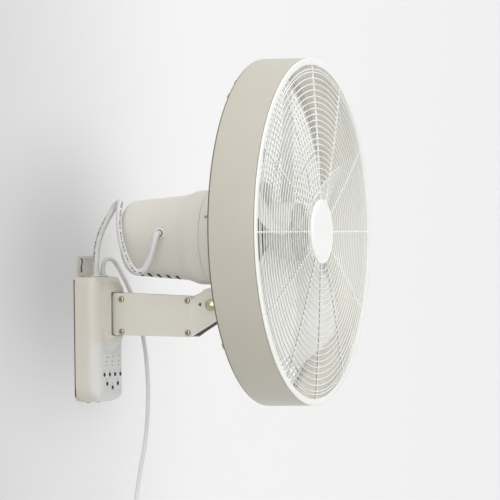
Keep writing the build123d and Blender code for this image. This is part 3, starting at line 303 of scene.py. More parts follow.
# paint_case, paint_motor, paint_drum and paint_arm stand for one greige paint, given as lighter and darker copies for
# painted light: the drum darker and the arm lighter, for how the light falls on each
finishes = {f.name: f.material for f in [
    # paint_case: the lighter, cooler lower front is painted light
    paint("paint_case", GREIGE, patches=lambda f: [(front_lower_painted_light(f), tone(218, 218, 217))]),
    # paint_motor: the dark colour on the vent slot walls is painted shade
    paint("paint_motor", tone(211, 208, 199), patches=lambda f: [(vent_wall_shade(f), tone(52, 46, 40))]),
    # paint_drum: the dark rear edge is painted shade and the lighter inner wall is painted light
    paint("paint_drum", tone(188, 184, 172), patches=drum_painted_shading),
    paint("paint_arm", tone(221, 218, 207)),
    # channel_grey: the dark grey is painted shade for the inside of the arm; the patch at the top is the channel's own
    # greige paint
    paint("channel_grey", tone(110, 106, 98), 0.42,
          patches=lambda f: [(f.along(2).between(-0.0545, -0.0525), tone(200, 197, 187))]),
    # plate_paint: the dark colour on the bracket's outer edge and keyhole edges is painted shade
    paint("plate_paint", tone(198, 195, 186), 0.45, patches=lambda f: [(painted_edge_shade(f), tone(78, 68, 56))]),
    # guard_white: the dark colour is painted shade on the wires' sides towards the wall, placed by the wires' own
    # attribute
    paint("guard_white", WHITE, 0.34, 0.01, patches=lambda f: [(painted_wire_shade(f), tone(108, 102, 93))]),
    # rotor_white: given lighter than the blades' own white, as painted light against the shade inside the drum
    plastic("rotor_white", tone(249, 249, 247), 0.3),
    plastic("badge_white", tone(241, 242, 241), 0.34),
    plastic("panel_film", tone(226, 226, 225), 0.4, 0.006, 2000.0),
    plastic("button_plastic", tone(26, 18, 15), 0.5),
    plastic("lamp_lens", tone(50, 46, 42), 0.3),
    board_finish("board_green", tone(24, 92, 52)),
    plastic("dark_plastic", tone(42, 42, 42), 0.45, 0.02),
    plastic("grommet_white", tone(233, 233, 230), 0.4),
    vinyl("cable_pvc", tone(214, 214, 213)),
    vinyl("cord_pvc", tone(222, 222, 221)),
    metal("zinc", tone(212, 198, 172), 0.18),
    metal("shaft_steel", tone(190, 190, 190), 0.22, (1, 1, 0.1)),
    lamination_finish("lamination", tone(122, 124, 126)),
    winding_finish("copper", tone(216, 128, 72)),
    plastic("acetal", tone(238, 237, 232), 0.4),
    metal("capacitor_shell", tone(205, 206, 208), 0.35, (1, 1, 0.05)),
    metal("pin_brass", tone(214, 190, 128), 0.22, (1, 1, 0.1)),
]}

# --- the maker's hand


def alone(piece=None):
    """leaves everything unselected, or only this piece selected and active"""
    bpy.ops.object.select_all(action="DESELECT")
    if piece:
        piece.select_set(True)
        bpy.context.view_layer.objects.active = piece
    return piece


def at(x, depth, z):
    """a point given in mm by its X, its distance from the wall and its height"""
    return Vector((x, -depth, z)) * MM


def aimed(point, way):
    """a place whose Z runs along a direction"""
    turn = Vector((0, 0, 1)).rotation_difference(Vector(way))
    return Matrix.Translation(point) @ turn.to_matrix().to_4x4()


def facing(z=0.0, depth=0.0, x=0.0):
    """the place whose Z runs forward from the wall, its X to the right and its Y up"""
    return Matrix(((1, 0, 0, x * MM), (0, 0, -1, -depth * MM), (0, 1, 0, z * MM), (0, 0, 0, 1)))


def sideways(x):
    """the place that has depth for its X, height for its Y, and whose Z runs to the left"""
    return Matrix(((0, 0, -1, x * MM), (-1, 0, 0, 0), (0, 1, 0, 0), (0, 0, 0, 1)))


def downward(z):
    """the place that has X for its X, depth for its Y, and whose Z runs down"""
    return Matrix(((1, 0, 0, 0), (0, -1, 0, 0), (0, 0, -1, z * MM), (0, 0, 0, 1)))


def slid(x, z=0.0):
    """a move to the right and up, in mm"""
    return Matrix.Translation((x * MM, 0, z * MM))


def mode(name):
    bpy.ops.object.mode_set(mode=name)


def named(name):
    """the piece that was just added, under its name"""
    piece = bpy.context.object
    piece.name = piece.data.name = name
    return piece


def settled(piece, place=None):
    """the piece is set in its place, and its object stays at the origin, unturned"""
    if place is not None:
        piece.matrix_world = place @ piece.matrix_world
    alone(piece)
    bpy.ops.object.transform_apply(location=True, rotation=True, scale=True)
    return piece


def sealed():
    """in edit mode: seams and poles are merged and the faces look outwards"""
    bpy.ops.mesh.select_all(action="SELECT")
    bpy.ops.mesh.remove_doubles(threshold=0.00001)
    bpy.ops.mesh.normals_make_consistent(inside=False)
    mode("OBJECT")


def softened(corners, steps=4, ring=True):
    """an outline whose corners, given as (x, y, radius), are rounded"""
    points = []
    for i, (x, y, radius) in enumerate(corners):
        here = Vector((x, y))
        if not radius or (not ring and i in (0, len(corners) - 1)):
            points.append((x, y))
            continue
        before = (Vector(corners[i - 1][:2]) - here).normalized()
        after = (Vector(corners[(i + 1) % len(corners)][:2]) - here).normalized()
        turn = before.angle(after)
        centre = here + (before + after).normalized() * (radius / math.sin(turn / 2))
        start, end = (here + way * (radius / math.tan(turn / 2)) - centre for way in (before, after))
        bow = start.angle(end)
        for k in range(steps + 1):
            share = k / steps
            point = (start * math.sin((1 - share) * bow) + end * math.sin(share * bow)) / math.sin(bow)
            points.append(tuple(centre + point))
    return points


def oblong(x, y, low_round=0, high_round=None, steps=6):
    """a rectangle between two values of X and of Y, with its lower and its upper corners rounded"""
    high_round = low_round if high_round is None else high_round
    return softened([(x[0], y[0], low_round), (x[1], y[0], low_round),
                     (x[1], y[1], high_round), (x[0], y[1], high_round)], steps)


def turned(name, outline, place=None, sides=128, ring=False):
    """a piece turned on a lathe from an outline of (radius, height) in mm, about the place's own Z"""
    pairs = [(max(radius, 0.002), height) for radius, height in outline]
    pairs += pairs[:1] if ring else []
    alone()
    radius, height = pairs[0]
    bpy.ops.mesh.primitive_circle_add(vertices=sides, radius=radius * MM, location=(0, 0, height * MM))
    piece = named(name)
    mode("EDIT")
    for (near, low), (far, high) in zip(pairs, pairs[1:]):
        bpy.ops.mesh.extrude_region_move(TRANSFORM_OT_translate={"value": (0, 0, (high - low) * MM)})
        bpy.ops.transform.resize(value=(far / near, far / near, 1), center_override=(0, 0, 0))
    sealed()
    return settled(piece, place)


def drill(radius, low, high, place, sides=24):
    """a plain round bar along the place's own Z"""
    return turned("bar", [(0, low), (radius, low), (radius, high), (0, high)], place, sides)


def plate(name, outline, thickness, place=None):
    """a flat piece cut to an outline in mm and as thick as it says along the place's own Z"""
    alone()
    bpy.ops.mesh.primitive_circle_add(vertices=len(outline), radius=MM, fill_type="NGON")
    piece = named(name)
    for vertex, (x, y) in zip(piece.data.vertices, outline):
        vertex.co = (x * MM, y * MM, 0)
    mode("EDIT")
    bpy.ops.mesh.extrude_region_move(TRANSFORM_OT_translate={"value": (0, 0, thickness * MM)})
    sealed()
    return settled(piece, place)


def brick(name, x, depth, z):
    """a block between two values of X, depth and height in mm"""
    alone()
    middle = at(sum(x) / 2, sum(depth) / 2, sum(z) / 2)
    size = [abs(b - a) * MM for a, b in (x, depth, z)]
    bpy.ops.mesh.primitive_cube_add(size=1, location=middle, scale=size)
    return settled(named(name))


def modify(piece, kind, **settings):
    alone(piece)
    modifier = piece.modifiers.new(kind.title(), kind)
    for name, value in settings.items():
        setattr(modifier, name, value)
    bpy.ops.object.modifier_apply(modifier=modifier.name)
    return piece


def eased(piece, width, segments=2, degrees=30):
    """every edge sharper than an angle is rounded off"""
    return modify(piece, "BEVEL", width=width * MM, segments=segments, limit_method="ANGLE",
                  angle_limit=math.radians(degrees))


def cut(piece, *tools, way="DIFFERENCE"):
    for tool in tools:
        modify(piece, "BOOLEAN", operation=way, object=tool, solver="EXACT")
        bpy.data.objects.remove(tool)
    return piece


def joined(name, pieces):
    alone(pieces[0])
    for piece in pieces:
        piece.select_set(True)
    if len(pieces) > 1:
        bpy.ops.object.join()
    pieces[0].name = pieces[0].data.name = name
    return pieces[0]


def copied(piece, *places):
    """copies of a piece, each with its own mesh, turned or moved from where it is"""
    copies = []
    for place in places:
        twin = piece.copy()
        twin.data = piece.data.copy()
        bpy.context.scene.collection.objects.link(twin)
        twin.data.transform(place)
        copies.append(twin)
    return copies


def stamped(piece, places):
    """copies of a piece in these places, in its stead"""
    copies = copied(piece, *places)
    bpy.data.objects.remove(piece)
    return copies


def around(piece, angles, z=FAN_Z):
    """the piece, which stands at the right of an axis, and its copies at angles round it, seen from the front"""
    centre = slid(0, z)
    return stamped(piece, [centre @ Matrix.Rotation(math.radians(-a), 4, "Y") @ centre.inverted() for a in angles])


def cleaned(piece):
    """the piece with its seams merged and its faces looking outwards"""
    alone(piece)
    mode("EDIT")
    sealed()
    return piece


def mirrored(piece):
    """the same piece on the other side of the plane X = 0"""
    return cleaned(copied(piece, Matrix.Scale(-1, 4, (1, 0, 0)))[0])


def dress(piece, body, finish, *replaced, degrees=35):
    """the piece gets its finish, moves with its body and stands for the plain solids it replaces"""
    alone(piece)
    bpy.ops.object.shade_smooth_by_angle(angle=math.radians(degrees))
    piece.data.materials.clear()
    piece.data.materials.append(finishes[finish])
    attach(piece, body)
    if replaced:
        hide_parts(*replaced)
    return piece


def refined(node, body, finish, width, *tools):
    """a copy of a plain solid with its edges eased, and cut where it says"""
    piece, = copied(frame["nodes"][node], Matrix.Identity(4))
    for key in list(piece.keys()):
        del piece[key]
    piece.parent = None
    piece.name = node + "_eased"
    alone(piece)
    mode("EDIT")
    bpy.ops.mesh.select_all(action="SELECT")
    bpy.ops.mesh.remove_doubles(threshold=0.000005)
    bpy.ops.mesh.dissolve_limited(angle_limit=math.radians(1))
    mode("OBJECT")
    eased(piece, width, 2, 40)
    return dress(cut(piece, *tools), body, finish, node)


def cross(radius, low, high):
    """the shape of a cross recess, standing on the origin"""
    slot = oblong((-radius * 0.52, radius * 0.52), (-radius * 0.11, radius * 0.11), 0.1, steps=2)
    lift = Matrix.Translation((0, 0, low * MM))
    return [plate("slot", slot, high - low, Matrix.Rotation(turn, 4, "Z") @ lift) for turn in (0, math.pi / 2)]


def screws(name, body, node, radius, height, places):
    """pan heads with a cross recess, modelled once and set in each place, and dark pieces in and round them as painted
    shade
    """
    head = turned(name, softened([(0, -0.4, 0), (radius * 0.8, -0.4, 0), (radius, 0, 0.1),
                                  (radius, height * 0.4, radius * 0.25), (radius * 0.72, height * 0.96, radius * 0.5),
                                  (0, height, 0)], 4, False), None, 40)
    cut(head, *cross(radius, height * 0.42, height * 1.5))
    foot = [(radius * 0.9, 0), (radius + 0.3, 0), (radius + 0.15, 0.22), (radius * 0.9, 0.22)]
    # dark plates in the recess and a dark ring at the foot: painted shade for the recess and the gap under the head
    dirt = joined("dirt", cross(radius * 0.97, height * 0.4, height * 0.5) + [turned("foot", foot, None, 32, True)])
    heads, marks = stamped(head, places), stamped(dirt, places)
    dress(joined(name + "_dirt", marks), body, "dark_plastic")
    return dress(joined(name, heads), body, "zinc", node, degrees=28)


def line(name, points, radius=None, ring=False, sides=8):
    """a smooth line through the air, as a curve, round where it has a radius"""
    data = bpy.data.curves.new(name, "CURVE")
    data.dimensions = "3D"
    spline = data.splines.new("NURBS")
    spline.points.add(len(points) - 1)
    for point, place in zip(spline.points, points):
        point.co = (*place, 1)
    spline.order_u = 3
    spline.use_endpoint_u = True
    data.resolution_u = sides
    if radius:
        data.bevel_depth = radius * MM
        data.bevel_resolution = 3
        data.use_fill_caps = True
    piece = bpy.data.objects.new(name, data)
    bpy.context.scene.collection.objects.link(piece)
    return piece


def path_of(name, points, steps=8):
    """the points that a smooth line runs through"""
    bare = line(name, points, sides=steps)
    bpy.context.view_layer.update()
    mesh = bpy.data.meshes.new_from_object(bare)
    found = [vertex.co.copy() for vertex in mesh.vertices]
    bpy.data.meshes.remove(mesh)
    bpy.data.objects.remove(bare)
    return found


def tube(name, points, radius, steps=8):
    """a round tube along a smooth line, as a mesh"""
    piece = line(name, points, radius, sides=steps)
    alone(piece)
    bpy.ops.object.convert(target="MESH")
    return bpy.context.object


# --- camera, light and room
target = Vector((0, -0.229, 0.0135))
back = Vector((-0.940, -0.342, 0)).normalized()
level = Vector((0.342, -0.940, 0)).normalized()
roll = 0.0122
right = level * math.cos(roll) - Vector((0, 0, 1)) * math.sin(roll)
up = level * math.sin(roll) + Vector((0, 0, 1)) * math.cos(roll)
camera = bpy.data.objects.new("camera", bpy.data.cameras.new("camera"))
bpy.context.scene.collection.objects.link(camera)
camera.data.sensor_width = 36
camera.data.lens = 18 / math.tan(math.radians(VIEW_DEGREES / 2))
camera.data.clip_end = 60
camera.matrix_world = (Matrix.Translation(target + back * CAMERA_AWAY)
                       @ Matrix((right, up, back)).transposed().to_4x4())
bpy.context.scene.camera = camera
bpy.context.scene.view_settings.view_transform = "Standard"


def lamp(name, place, aim, size, watts, colour=(1, 1, 1)):
    light = bpy.data.lights.new(name, "AREA")
    light.shape = "RECTANGLE"
    light.size, light.size_y = size
    light.energy = watts
    light.color = colour
    made = bpy.data.objects.new(name, light)
    bpy.context.scene.collection.objects.link(made)
    made.matrix_world = aimed(Vector(place), Vector(place) - Vector(aim))


lamp("window_light", (-1.6, -1.5, 2.0), (0, -0.2, 0), (1.8, 1.8), 18, (1.0, 0.985, 0.96))
lamp("front_fill", (-0.3, -3.0, 0.6), (0, -0.3, 0), (2.2, 2.2), 20)
lamp("left_fill", (-2.5, -0.5, 0.5), (0, -0.2, 0), (1.6, 1.8), 20)
lamp("ceiling_light", (0.3, -1.3, 2.6), (0, -0.2, 0), (2.0, 2.0), 14)
world = bpy.data.worlds.new("room")
bpy.context.scene.world = world
world.use_nodes = True
world.node_tree.nodes["Background"].inputs["Color"].default_value = (1, 1, 1, 1)
world.node_tree.nodes["Background"].inputs["Strength"].default_value = 0.68


def room_finish(name, near, far, one_sided):
    """pale paint that keeps a soft shadow; its colour is painted lighter away from the fan, as painted light, and on
    the wall a painted shadow makes it duller close round the case
    """
    f = Finish(name, near, Roughness=0.9, Specular_IOR_Level=0.1)
    # painted light: the colour grows lighter along X, away from the fan
    colour = f.mix(f.along(0).between(-0.75, 0.5), near, far)
    # painted shadow: the wall is darker in an ellipse round the case
    if one_sided:
        painted_shadow_space = f.node("ShaderNodeMapping", None, {
            "Vector": f.here, "Location": (0.33, 0, 0.1), "Scale": (3.0, 1, 4.6)})
        painted_shadow_distance = f.node("ShaderNodeVectorMath", {"operation": "LENGTH"}, {0: painted_shadow_space}, "Value")
        colour = f.mix(painted_shadow_distance.between(1.15, 0.0), colour, f.mix(0.5, near, tone(180, 180, 180)))
    f.gives(Base_Color=colour)
    glow = f.node("ShaderNodeEmission", None, {"Color": colour})
    seen = [f.node("ShaderNodeLightPath", output=f"Is {kind} Ray") for kind in ("Camera", "Glossy", "Transmission")]
    share = (seen[0] + seen[1] + seen[2]) * 0.72
    surface = f.node("ShaderNodeMixShader", None, {0: share, 1: Wire(f, f.shader.outputs[0]), 2: glow})
    if one_sided:
        touching = f.node("ShaderNodeLightPath", output="Ray Length").between(0.005, 0.003)
        behind = (f.node("ShaderNodeNewGeometry", output="Backfacing") + touching).between(0.0, 1.0)
        clear = f.node("ShaderNodeBsdfTransparent")
        surface = f.node("ShaderNodeMixShader", None, {0: behind, 1: surface, 2: clear})
    f.tree.links.new(surface.socket, f.tree.nodes["Material Output"].inputs["Surface"])
    return f.material


alone()
bpy.ops.mesh.primitive_plane_add(size=30, location=(0, 0.0005, 0), rotation=(math.pi / 2, 0, 0))
wall = settled(bpy.context.object)
wall.name = "wall"
wall.data.materials.append(room_finish("wall_paint", tone(204, 204, 204), tone(244, 244, 244), True))
alone()
bpy.ops.mesh.primitive_plane_add(size=30, location=(0, -15, -1.25))
floor = settled(bpy.context.object)
floor.name = "floor"
floor.data.materials.append(room_finish("floor_paint", tone(226, 226, 225), tone(240, 240, 239), False))

# --- cords
cable_low_points = [at(*p) for p in [
    (-12.3, 18.6, -10), (-12.3, 18.6, 8), (-13.4, 22.5, 27), (-14, 30, 46), (-13, 40, 63)]]
cable_high_points = [at(*p) for p in [
    (-13, 40, 63), (-12.3, 47, 74.9), (-22, 58, 79.5), (-39, 63, 70), (-53, 67, 50), (-61, 73, 26), (-64.5, 82, 3),
    (-65.5, 93.5, -14), (-66.5, 107, -12), (-67.5, 116.5, 6), (-69.5, 121.8, 20.5), (-69, 123.7, 30),
    (-62.5, 124, 36.5), (-55.8, 124, 36.5)]]
cord_points = [at(*p) for p in [
    (12.3, 18.6, -10), (12.3, 18.7, -3.9), (20.8, 20.8, 4.6), (31.5, 23, 4.2), (42, 24.8, -0.6),
    (52, 26.5, -10), (63, 29.5, -23), (72, 34.5, -40), (78, 42, -70), (80.5, 50, -108), (82, 53.5, -150),
    (82.5, 53, -195), (80.5, 49.5, -237),
    (77, 43.5, -274), (75.5, 39, -302), (69, 38, -328.5), (52.5, 38, -328.5)]]
COIL_X, COIL_DEPTH, COIL_Z, COIL_TURNS = 47.0, 38.0, -369.79, 5.25


def coil_point(turns):
    """a point of the coil, counted in turns from the top: in towards the middle, and out again one layer back"""
    away = max(abs(turns - COIL_TURNS / 2) - 0.25, 0)
    radius = 23 + 7.7 * away
    climb = min(max((turns - COIL_TURNS / 2 + 0.25) / 0.5, 0), 1)
    lift = 6.9 * (1 - math.cos(math.pi * climb)) / 2
    angle = math.pi / 2 + 2 * math.pi * turns
    return at(COIL_X + radius * math.cos(angle), COIL_DEPTH - lift, COIL_Z + radius * math.sin(angle))


coil_points = [coil_point(COIL_TURNS * i / 84) for i in range(85)]
tail_points = [coil_points[-1] - Vector((0, 0, drop * MM)) for drop in (12, 30, 44)]
plug_top = tail_points[-1]

cable_low = tube("motor_cable_at_case", cable_low_points, CABLE_RADIUS)
cable_high = tube("motor_cable_at_motor", cable_high_points, CABLE_RADIUS)
for piece, node in ((cable_low, "motor_cable_lower"), (cable_high, "motor_cable_upper")):
    piece.data.materials.append(finishes["cable_pvc"])
    alone(piece)
    bpy.ops.object.shade_smooth()
    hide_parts(node)
at(-12.3, 18.6, -10)
at(-12.3, 18.6, 63)
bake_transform(cable_low)
at(0, 44, 63)
at(0, 122, 63)
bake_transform(cable_high)
power_cord = line("power_cord_and_coil", cord_points + coil_points + tail_points, CORD_RADIUS, sides=5)
power_cord.data.materials.append(finishes["cord_pvc"])
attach(power_cord, "base")
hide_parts("power_cord", "power_cord_coil")


def ink_dashes(name, points, radius, side, first, last):
    """short printed dashes in a row along a cable, on the side that a direction points to"""
    found = path_of(name, points, 24)
    steps = [(b - a).length for a, b in zip(found, found[1:])]
    total, dashes, gone, place = sum(steps), [], 0.0, 0.0
    lengths = [0.0026, 0.0012, 0.0018, 0.0011, 0.0032, 0.0014, 0.0021, 0.0009]
    while place < total * last:
        dash = lengths[len(dashes) % 8]
        if place > total * first:
            walked, spot = 0.0, 0
            while walked + steps[spot] < place:
                walked += steps[spot]
                spot += 1
            way = (found[spot + 1] - found[spot]).normalized()
            out = (Vector(side) - way * Vector(side).dot(way)).normalized()
            frame_of = Matrix((way, out.cross(way), out)).transposed().to_4x4()
            middle = found[spot] + way * (place - walked) + out * (radius - 0.1) * MM
            half = dash / 2 / MM
            place_of = Matrix.Translation(middle) @ frame_of
            dashes.append(plate("dash", oblong((-half, half), (-0.6, 0.6)), 0.15, place_of))
        place += dash + (0.0009 if len(dashes) % 5 else 0.0034)
    return joined(name, dashes)


prints = [
    (ink_dashes("cable_marks_at_case", cable_low_points, CABLE_RADIUS, (-0.75, 0.25, 0.6), 0.12, 0.95),
     "base", "arm", (-12.3, 18.6, -10), (-12.3, 18.6, 63)),
    (ink_dashes("cable_marks_at_motor", cable_high_points, CABLE_RADIUS, (-0.8, -0.55, -0.2), 0.16, 0.72),
     "arm", "head", (0, 44, 63), (0, 122, 63)),
]
for piece, one, other, start, end in prints:
    piece.data.materials.append(finishes["dark_plastic"])
    at(*start)
    at(*end)
    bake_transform(piece)

# --- wall plate
outline = softened([(-36, -22, 0), (-36, 8.4, 6), (36, 8.4, 6), (36, -22, 0), (46, -22, 2), (46, -181, 8),
                    (-46, -181, 8), (-46, -22, 2)], 6)
wall_plate = plate("wall_bracket", outline, 2.0, facing())
for x in (-22, 22):
    slot = plate("slot", oblong((x - 2.3, x + 2.3), (0, -12), 0, 2.3), 8, facing(depth=-4))
    cut(wall_plate, drill(4.8, -3, 6, facing(x=x), 40), slot)
flanges = [eased(brick("flange", (-36, 36), (0.3, 13), (z, z + 2)), 0.5) for z in (-23.5, -180.5)]
eased(wall_plate, 0.35, 2, 40)
dress(joined("wall_bracket", [wall_plate, *flanges]), "base", "plate_paint", "wall_plate")

# --- control case


def edges_chosen(piece, test):
    """in object mode: only the edges that pass the test are selected"""
    for part in (piece.data.vertices, piece.data.polygons, piece.data.edges):
        part.foreach_set("select", [False] * len(part))
    for edge in piece.data.edges:
        ends = [piece.data.vertices[i].co for i in edge.vertices]
        edge.select = test(*ends)


def edges_rounded(piece, test, radius, segments):
    edges_chosen(piece, test)
    alone(piece)
    bpy.context.tool_settings.mesh_select_mode = (False, True, False)
    mode("EDIT")
    bpy.ops.mesh.bevel(offset=radius * MM, segments=segments, profile=0.5, affect="EDGES")
    mode("OBJECT")
    bpy.context.tool_settings.mesh_select_mode = (True, False, False)


case = plate("control_case_shell", oblong((-47, 47), (-183, -19), 22, 7, 12), 65, facing(depth=-30))
across = plate("across", oblong((-47, 47), (-31, 35), 0, 15.5, 12), 170, downward(-17))
upright = plate("upright", softened([(-31, -183, 0), (35, -183, 16), (35, -19, 12), (-31, -19, 0)], 12), 100,
                sideways(50))
cut(case, across, upright, way="INTERSECT")
nose_axis = Matrix.Translation(at(0, NOSE_DEPTH, 0))
nose = turned("nose", softened([(0, -20.5, 0), (39.4, -20.5, 19), (39.4, -97.5, 12), (24.4, -116, 14),
                                (24.0, -140, 0), (0, -140, 0)], 8, False), nose_axis, 144)
flanks = plate("flanks", [(-39.1, 32.7), (-20.5, 44.0), (20.5, 44.0), (39.1, 32.7), (39, 20), (-39, 20)], 72,
               downward(-24))
edges_rounded(flanks, lambda a, b: min(a.z, b.z) > -0.0241 and max(a.y, b.y) < -0.032, 18, 8)
edges_rounded(flanks, lambda a, b: max(a.z, b.z) < -0.0959 and max(a.y, b.y) < -0.032, 11, 8)
case = joined("control_case_shell", [case, nose, flanks])
modify(case, "REMESH", mode="VOXEL", voxel_size=1.15 * MM, adaptivity=0.0)
modify(case, "SMOOTH", factor=0.5, iterations=45)
alone(case)
mode("EDIT")
bpy.ops.mesh.select_all(action="SELECT")
bpy.ops.mesh.bisect(plane_co=at(0, 2, 0), plane_no=(0, 1, 0), use_fill=True, clear_outer=True)
mode("OBJECT")


hollow = plate("hollow", oblong((-44.5, 44.5), (-180.5, -21.5), 20, 5, 8), 13, facing(depth=-1))
rooms = [
    plate("low_hollow", oblong((-41, 41), (-178, -99.6), 18, 1, 8), 24, facing(depth=5)),
    brick("mid_hollow", (-41, 41), (5, 26), (-96.6, -38.3)),
    drill(36.8, -96.6, -38.3, nose_axis, 96),
    plate("window", oblong((-22, 22), (-96.1, -39.3), 3, steps=5), 60, facing(depth=NOSE_DEPTH)),
    plate("panel_room", oblong((-30, 30), (-164.8, -124.5), 3, steps=4), 14, facing(depth=26)),
]
cut(case, cut(hollow, *rooms, way="UNION"))


def film_outline(grow):
    """the panel's outline, a little larger all round"""
    return oblong((-33 - grow, 33 + grow), (-168 - grow, -121 + grow), 5)


cut(case, plate("seat", film_outline(0.2), 4, facing(depth=PANEL_DEPTH)))
dress(case, "base", "paint_case", "control_case", degrees=40)

# --- panel, buttons and lamps
button_places = [(-28.5, -147), (-9.5, -147), (9.5, -147), (28.5, -147), (-19, -159), (19, -159), (0, -164.3)]
lamp_places = [(x, z) for x in (-22, 0, 22) for z in (-130, -135)]
film = plate("panel_sheet", film_outline(0), 0.6, facing(depth=PANEL_DEPTH))
for x, z in button_places:
    cut(film, drill(2.85, 30, 40, facing(z, 0, x), 32))
for x, z in lamp_places:
    cut(film, brick("hole", (x - 1.6, x + 1.6), (30, 40), (z - 0.7, z + 0.7)))
dress(eased(film, 0.15, 1, 50), "base", "panel_film", "control_panel")
names = ["power", "speed", "mode", "timer", "swing", "rhythm", "light"]
cap = [(0, 33, 0), (2.55, 33, 0), (2.6, 36.0, 0.6), (1.9, 36.0, 0.5), (0, 35.7, 0)]
button = turned("button", softened(cap, 4, False), facing(), 40)
for name, twin in zip(names, stamped(button, [slid(*place) for place in button_places])):
    twin.name = "push_" + name
    dress(twin, "button_" + name, "button_plastic", "button_" + name)
lens = eased(brick("lamp_window", (-1.5, 1.5), (30, 34.95), (-0.62, 0.62)), 0.2)
lamps = stamped(lens, [slid(*place) for place in lamp_places])
dress(joined("lamp_windows", lamps), "base", "lamp_lens", "lamps")


def mark(x, z, width, height):
    """a thin printed dash on the panel"""
    outline = oblong((x - width / 2, x + width / 2), (z - height / 2, z + height / 2))
    return plate("mark", outline, 0.04, facing(depth=34.99))


marks = [mark(x, z + 5.6, 5.0, 0.55) for x, z in button_places]
marks += [mark(x + 3.6, z, 2.2, 0.4) for x, z in lamp_places]
marks += [mark(-16, -124.4, 9, 0.6), mark(2, -123.4, 8, 0.6), mark(23, -123.4, 7, 0.6)]
dress(joined("panel_marks", marks), "base", "dark_plastic")

# --- outlets, gland and strain relief
outlet = eased(brick("outlet_cover", (-20, 20), (13.6, 23.6), (-19, -17)), 0.7, 3)
dress(outlet, "base", "panel_film", "outlet_plate")


def collar_outline(inner, foot, tip, foot_z, tip_z, ridges):
    """a tapered sleeve with shallow grooves round it"""
    points = [(inner, foot_z), (foot, foot_z), (foot, foot_z + 1.3)]
    pitch = (tip_z - foot_z - 1.9) / ridges
    for i in range(ridges):
        low = foot_z + 1.5 + i * pitch
        radius = foot - 0.3 + (tip - foot + 0.3) * (i + 0.5) / ridges
        points += [(radius - 0.2, low), (radius, low + pitch * 0.25), (radius - 0.05, low + pitch * 0.75),
                   (radius - 0.22, low + pitch)]
    return points + [(tip, tip_z - 0.3), (tip - 0.3, tip_z), (inner, tip_z)]


gland = turned("cable_gland", collar_outline(4.12, 5.1, 4.5, -17, -10, 3), Matrix.Translation(at(-12.3, 18.6, 0)),
               48, True)
dress(gland, "base", "cable_pvc", "motor_cable_gland")
stem = [(2.77, -31), (3.3, -31), (3.35, -17.2)]
relief = turned("cord_strain_relief", stem + collar_outline(2.77, 3.9, 3.2, -17, -10, 4)[1:],
                Matrix.Translation(at(12.3, 18.6, 0)), 48, True)
dress(relief, "base", "cord_pvc", "power_strain_relief")

# --- plug, pins and tie
plug_place = Matrix.Translation(plug_top) @ Matrix.Rotation(math.pi, 4, "X")
sections = [(0, 3.0, 3.0), (0.3, 3.6, 3.6), (2.0, 3.9, 3.9), (2.3, 3.4, 3.4), (3.2, 3.4, 3.4), (3.5, 4.1, 4.1),
            (5.2, 4.3, 4.3), (5.5, 3.8, 3.8), (6.4, 3.9, 3.9), (6.8, 4.7, 4.6), (9.5, 6.2, 5.3), (13.5, 10.0, 6.4),
            (18, 14.0, 7.1), (22, 15.8, 7.4), (26, 16.0, 7.45), (34.6, 15.9, 7.4), (35.6, 15.4, 6.9),
            (36, 14.4, 6.0), (36, 0.01, 0.01)]
alone()
bpy.ops.mesh.primitive_circle_add(vertices=48, radius=3.0 * MM, fill_type="NGON")
plug = named("mains_plug")
mode("EDIT")
for (h0, w0, d0), (h1, w1, d1) in zip(sections, sections[1:]):
    bpy.ops.mesh.extrude_region_move(TRANSFORM_OT_translate={"value": (0, 0, (h1 - h0) * MM)})
    bpy.ops.transform.resize(value=(w1 / w0, d1 / d0, 1), center_override=(0, 0, 0))
sealed()
dress(settled(plug, plug_place), "base", "cord_pvc", "power_plug")
pin = turned("pin", softened([(0, 30, 0), (2.35, 30, 0), (2.4, 54.9, 1.2), (0, 54.9, 0)], 5, False), None, 32)
pins = cleaned(joined("plug_prongs", stamped(pin, [plug_place @ slid(x) for x in (-9.5, 9.5)])))
dress(pins, "base", "pin_brass", "plug_pins")
tie_z, tie_half = -401.93, 13.1
band = plate("tie_band", oblong((26.2, 42.9), (tie_z - tie_half - 0.95, tie_z + tie_half + 0.95), 4), 7.6,
             sideways(COIL_X + 3.8))
cut(band, plate("gap", oblong((27.2, 41.9), (tie_z - tie_half, tie_z + tie_half), 3.2), 20, sideways(COIL_X + 10)))
dress(eased(band, 0.3, 2, 50), "base", "dark_plastic", "cord_tie")
at(12.3, 18.6, -10)
at(-12.3, 18.6, -10)
path_of("low_path", cable_low_points)
at(-13, 40, 63)
path_of("high_path", cable_high_points)

# --- screws
up_way, down_way = (0, 0, 1), (0, 0, -1)
screws("case_screw_heads", "base", "case_screws", 3.0, 1.6,
       [aimed(at(x, 7.7, -19), up_way) for x in (-29, 29)] + [aimed(at(x, 7.7, -183), down_way) for x in (-18, 18)])
arm_places = [(54.6, -48.8), (54.6, -91.3), (146.6, -51.5), (146.6, -93.6)]
screws("arm_screw_heads", "arm", "arm_screws", 3.8, 2.0,
       [aimed(at(side * 15, depth, z), (side, 0, 0)) @ Matrix.Rotation(math.radians(20 + 37 * i), 4, "Z")
        for side in (-1, 1) for i, (depth, z) in enumerate(arm_places)])
collar_places = []
for degrees in (25.5, 154.5):
    way = Vector((math.cos(math.radians(degrees)), 0, math.sin(math.radians(degrees))))
    collar_places.append(aimed(at(0, 189, HOUSING_Z) + way * COLLAR_RADIUS * MM, way))
screws("collar_screw_heads", "head", "collar_screws", 2.1, 1.2, collar_places)
screws("bracket_screw_heads", "head", "bracket_screws", 3.5, 2.2,
       [aimed(at(0, depth, -33.8), down_way) for depth in (216.7, 232.7)])

# --- arm


def tangent(point, centre, radius, side):
    """the angle at which a straight edge from a point meets a round end"""
    dx, dz = point[0] - centre[0], point[1] - centre[1]
    return math.atan2(dz, dx) + side * math.acos(radius / math.hypot(dx, dz))


